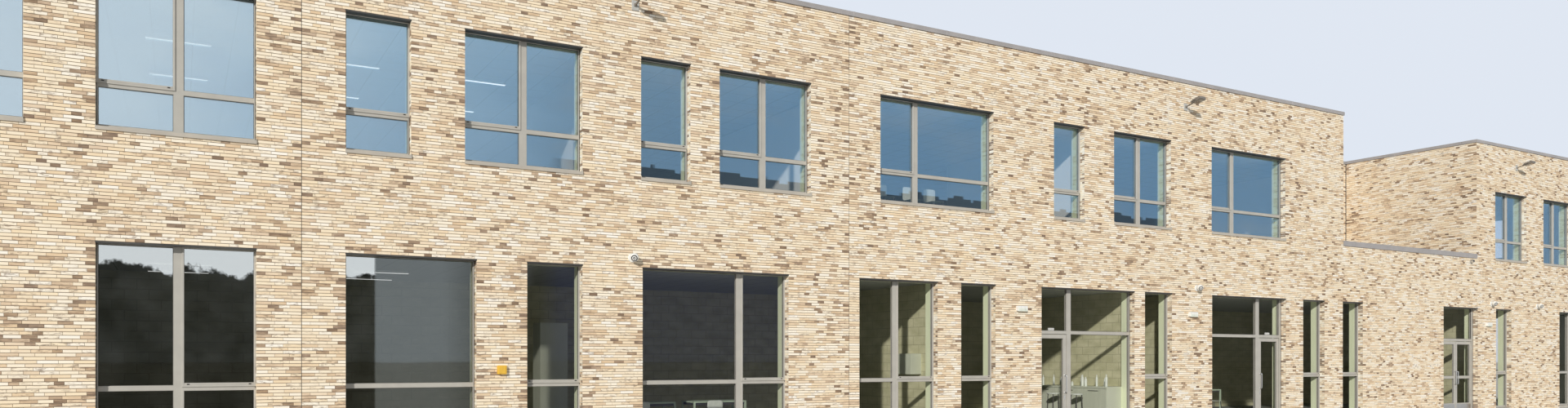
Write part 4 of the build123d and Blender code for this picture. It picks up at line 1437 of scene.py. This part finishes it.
NODE_FINISHES = {
    "window_frame": (
        "ground_window_frames", "upper_window_frames", "entrance_posts", "entrance_rails",
        *(f"{door}_leaf" for door in DOORS),
    ),
    "wall_core": (
        *LONG_WALLS["front"], *LONG_WALLS["back"], *END_WALLS,
        "set_back_west_wall", "set_back_rear_wall", "set_back_east_wall",
    ),
    "coping_metal": ("parapet_coping", "low_coping"),
    "sill_metal": ("upper_sills", "ground_sills", "thresholds"),
    "slate_plate": ("window_lintels",),
    "window_lining": ("window_linings",),
    "upper_glass": ("upper_window_glass",),
    "ground_glass": ("ground_window_glass", "entrance_glass", *(f"{door}_glass" for door in DOORS)),
    "brushed_steel": ("door_pivots", "overflow_spout", *(f"{door}_pull" for door in DOORS)),
    "ground_ceiling": ("ground_ceiling",),
    "upper_ceiling": ("upper_ceiling",),
    "block_walls": ("partitions",),
    "slabs": ("ground_floor_slab", "upper_floor_slab"),
    "roofing": ("west_roof_slab", "link_roof_slab", "east_roof_slab", "low_roof_deck"),
    "laminate": ("kitchen_units",),
    "table_top": ("tables",),
    "seat_shell": ("seats",),
    "lamp_body": ("floodlights",),
    "white_plastic": ("cameras", "emergency_lights", "ceiling_lights"),
    "yellow_plastic": ("alarm_box",),
}


class FinishSurfaces(Operator):
    """Gives every CAD node its finish"""

    bl_idname = "school.finish_surfaces"
    bl_label = "Finish surfaces"

    def execute(self, context):
        finishes = {node: name for name, nodes in NODE_FINISHES.items() for node in nodes}
        missing = sorted(set(frame["nodes"]) - set(finishes))
        if missing:
            raise RuntimeError(f"no finish for {missing}")
        for node, name in finishes.items():
            paint(frame["nodes"][node], FINISHES[name])
        return {"FINISHED"}


# Stage


def lay_floor(settings):
    """A wide plain floor just under the ground line."""
    start_clean()
    bpy.ops.mesh.primitive_plane_add(size=1600, location=(0, 0, -0.003))
    floor = settled()
    floor.name = "floor"
    stage_finish("stage_floor", tuple(settings.floor_colour))
    paint(floor, FINISHES["stage_floor"])


def paint_sky(settings):
    """Soft sky light, with a pale background for what the camera and glass see."""
    world = bpy.data.worlds.new("sky")
    bpy.context.scene.world = world
    world.use_nodes = True
    tree = world.node_tree
    light = tree.nodes["Background"]
    fill_sockets(light, {"Color": (0.92, 0.96, 1.0, 1.0), "Strength": settings.sky})
    shown = add_node(tree, "ShaderNodeBackground", {}, {"Color": (*settings.sky_colour, 1.0)})
    rays = add_node(tree, "ShaderNodeLightPath", {}, {}).socket.node.outputs
    seen = Link(tree, rays["Is Camera Ray"]) + Link(tree, rays["Is Glossy Ray"])
    seen = (seen + Link(tree, rays["Is Transmission Ray"])).limited()
    shaders = {0: seen, 1: Link(tree, light.outputs[0]), 2: shown}
    mix = add_node(tree, "ShaderNodeMixShader", {}, shaders)
    fill_sockets(tree.nodes["World Output"], {"Surface": mix})


def hang_sun(settings):
    """A soft sun over the west side of the front."""
    height, side = settings.sun_height, settings.sun_side
    flat = math.cos(height)
    shine = Vector((math.sin(side) * flat, math.cos(side) * flat, -math.sin(height)))
    turn = shine.to_track_quat("-Z", "Y").to_euler()
    bpy.ops.object.light_add(type="SUN", location=(-12, -16, 14), rotation=turn)
    sun = bpy.context.object
    sun.name = "sun"
    sun.data.energy = settings.sun
    sun.data.angle = math.radians(2)
    sun.data.color = (1.0, 0.965, 0.91)


def place_camera():
    """The photograph's view: level, turned towards the east, with a shifted lens."""
    eye = (-10.0, -12.57, 0.82)
    turn = (math.radians(90), 0, math.radians(-30.26))
    bpy.ops.object.camera_add(location=eye, rotation=turn)
    camera = bpy.context.object
    camera.name = "camera"
    camera.data.sensor_width = 36
    camera.data.lens = 23.81
    camera.data.shift_y = 0.1002
    camera.data.clip_end = 2000
    bpy.context.scene.camera = camera


class SetStage(Operator):
    """Sets the floor, the sky, the sun and the camera"""

    bl_idname = "school.set_stage"
    bl_label = "Set stage"

    def execute(self, context):
        settings = context.scene.school.stage
        lay_floor(settings)
        paint_sky(settings)
        hang_sun(settings)
        place_camera()
        context.scene.view_settings.view_transform = "Standard"
        return {"FINISHED"}


OPERATORS = (
    FinishSurfaces, GlazeWindows, DressDoors, TrimWalls, FitLamps, FurnishRooms, LayBricks,
    SetStage,
)


class SchoolPanel(Panel):
    """Lists the steps that build the scene"""

    bl_idname = "VIEW3D_PT_school"
    bl_label = "School"
    bl_space_type = "VIEW_3D"
    bl_region_type = "UI"
    bl_category = "School"

    def draw(self, context):
        for operator in OPERATORS:
            self.layout.operator(operator.bl_idname)


CLASSES = (BrickSettings, WindowSettings, StageSettings, SchoolSettings, *OPERATORS, SchoolPanel)


def register():
    """Registers the classes and the settings."""
    for cls in CLASSES:
        bpy.utils.register_class(cls)
    bpy.types.Scene.school = PointerProperty(type=SchoolSettings)


def unregister():
    """Takes the settings and classes away."""
    del bpy.types.Scene.school
    for cls in reversed(CLASSES):
        bpy.utils.unregister_class(cls)


def main():
    """Builds the whole scene in order."""
    register()
    make_finishes()
    bpy.ops.school.finish_surfaces()
    bpy.ops.school.glaze_windows()
    bpy.ops.school.dress_doors()
    bpy.ops.school.trim_walls()
    bpy.ops.school.fit_lamps()
    bpy.ops.school.furnish_rooms()
    bpy.ops.school.lay_bricks()
    bpy.ops.school.set_stage()


if __name__ == "__main__":
    main()
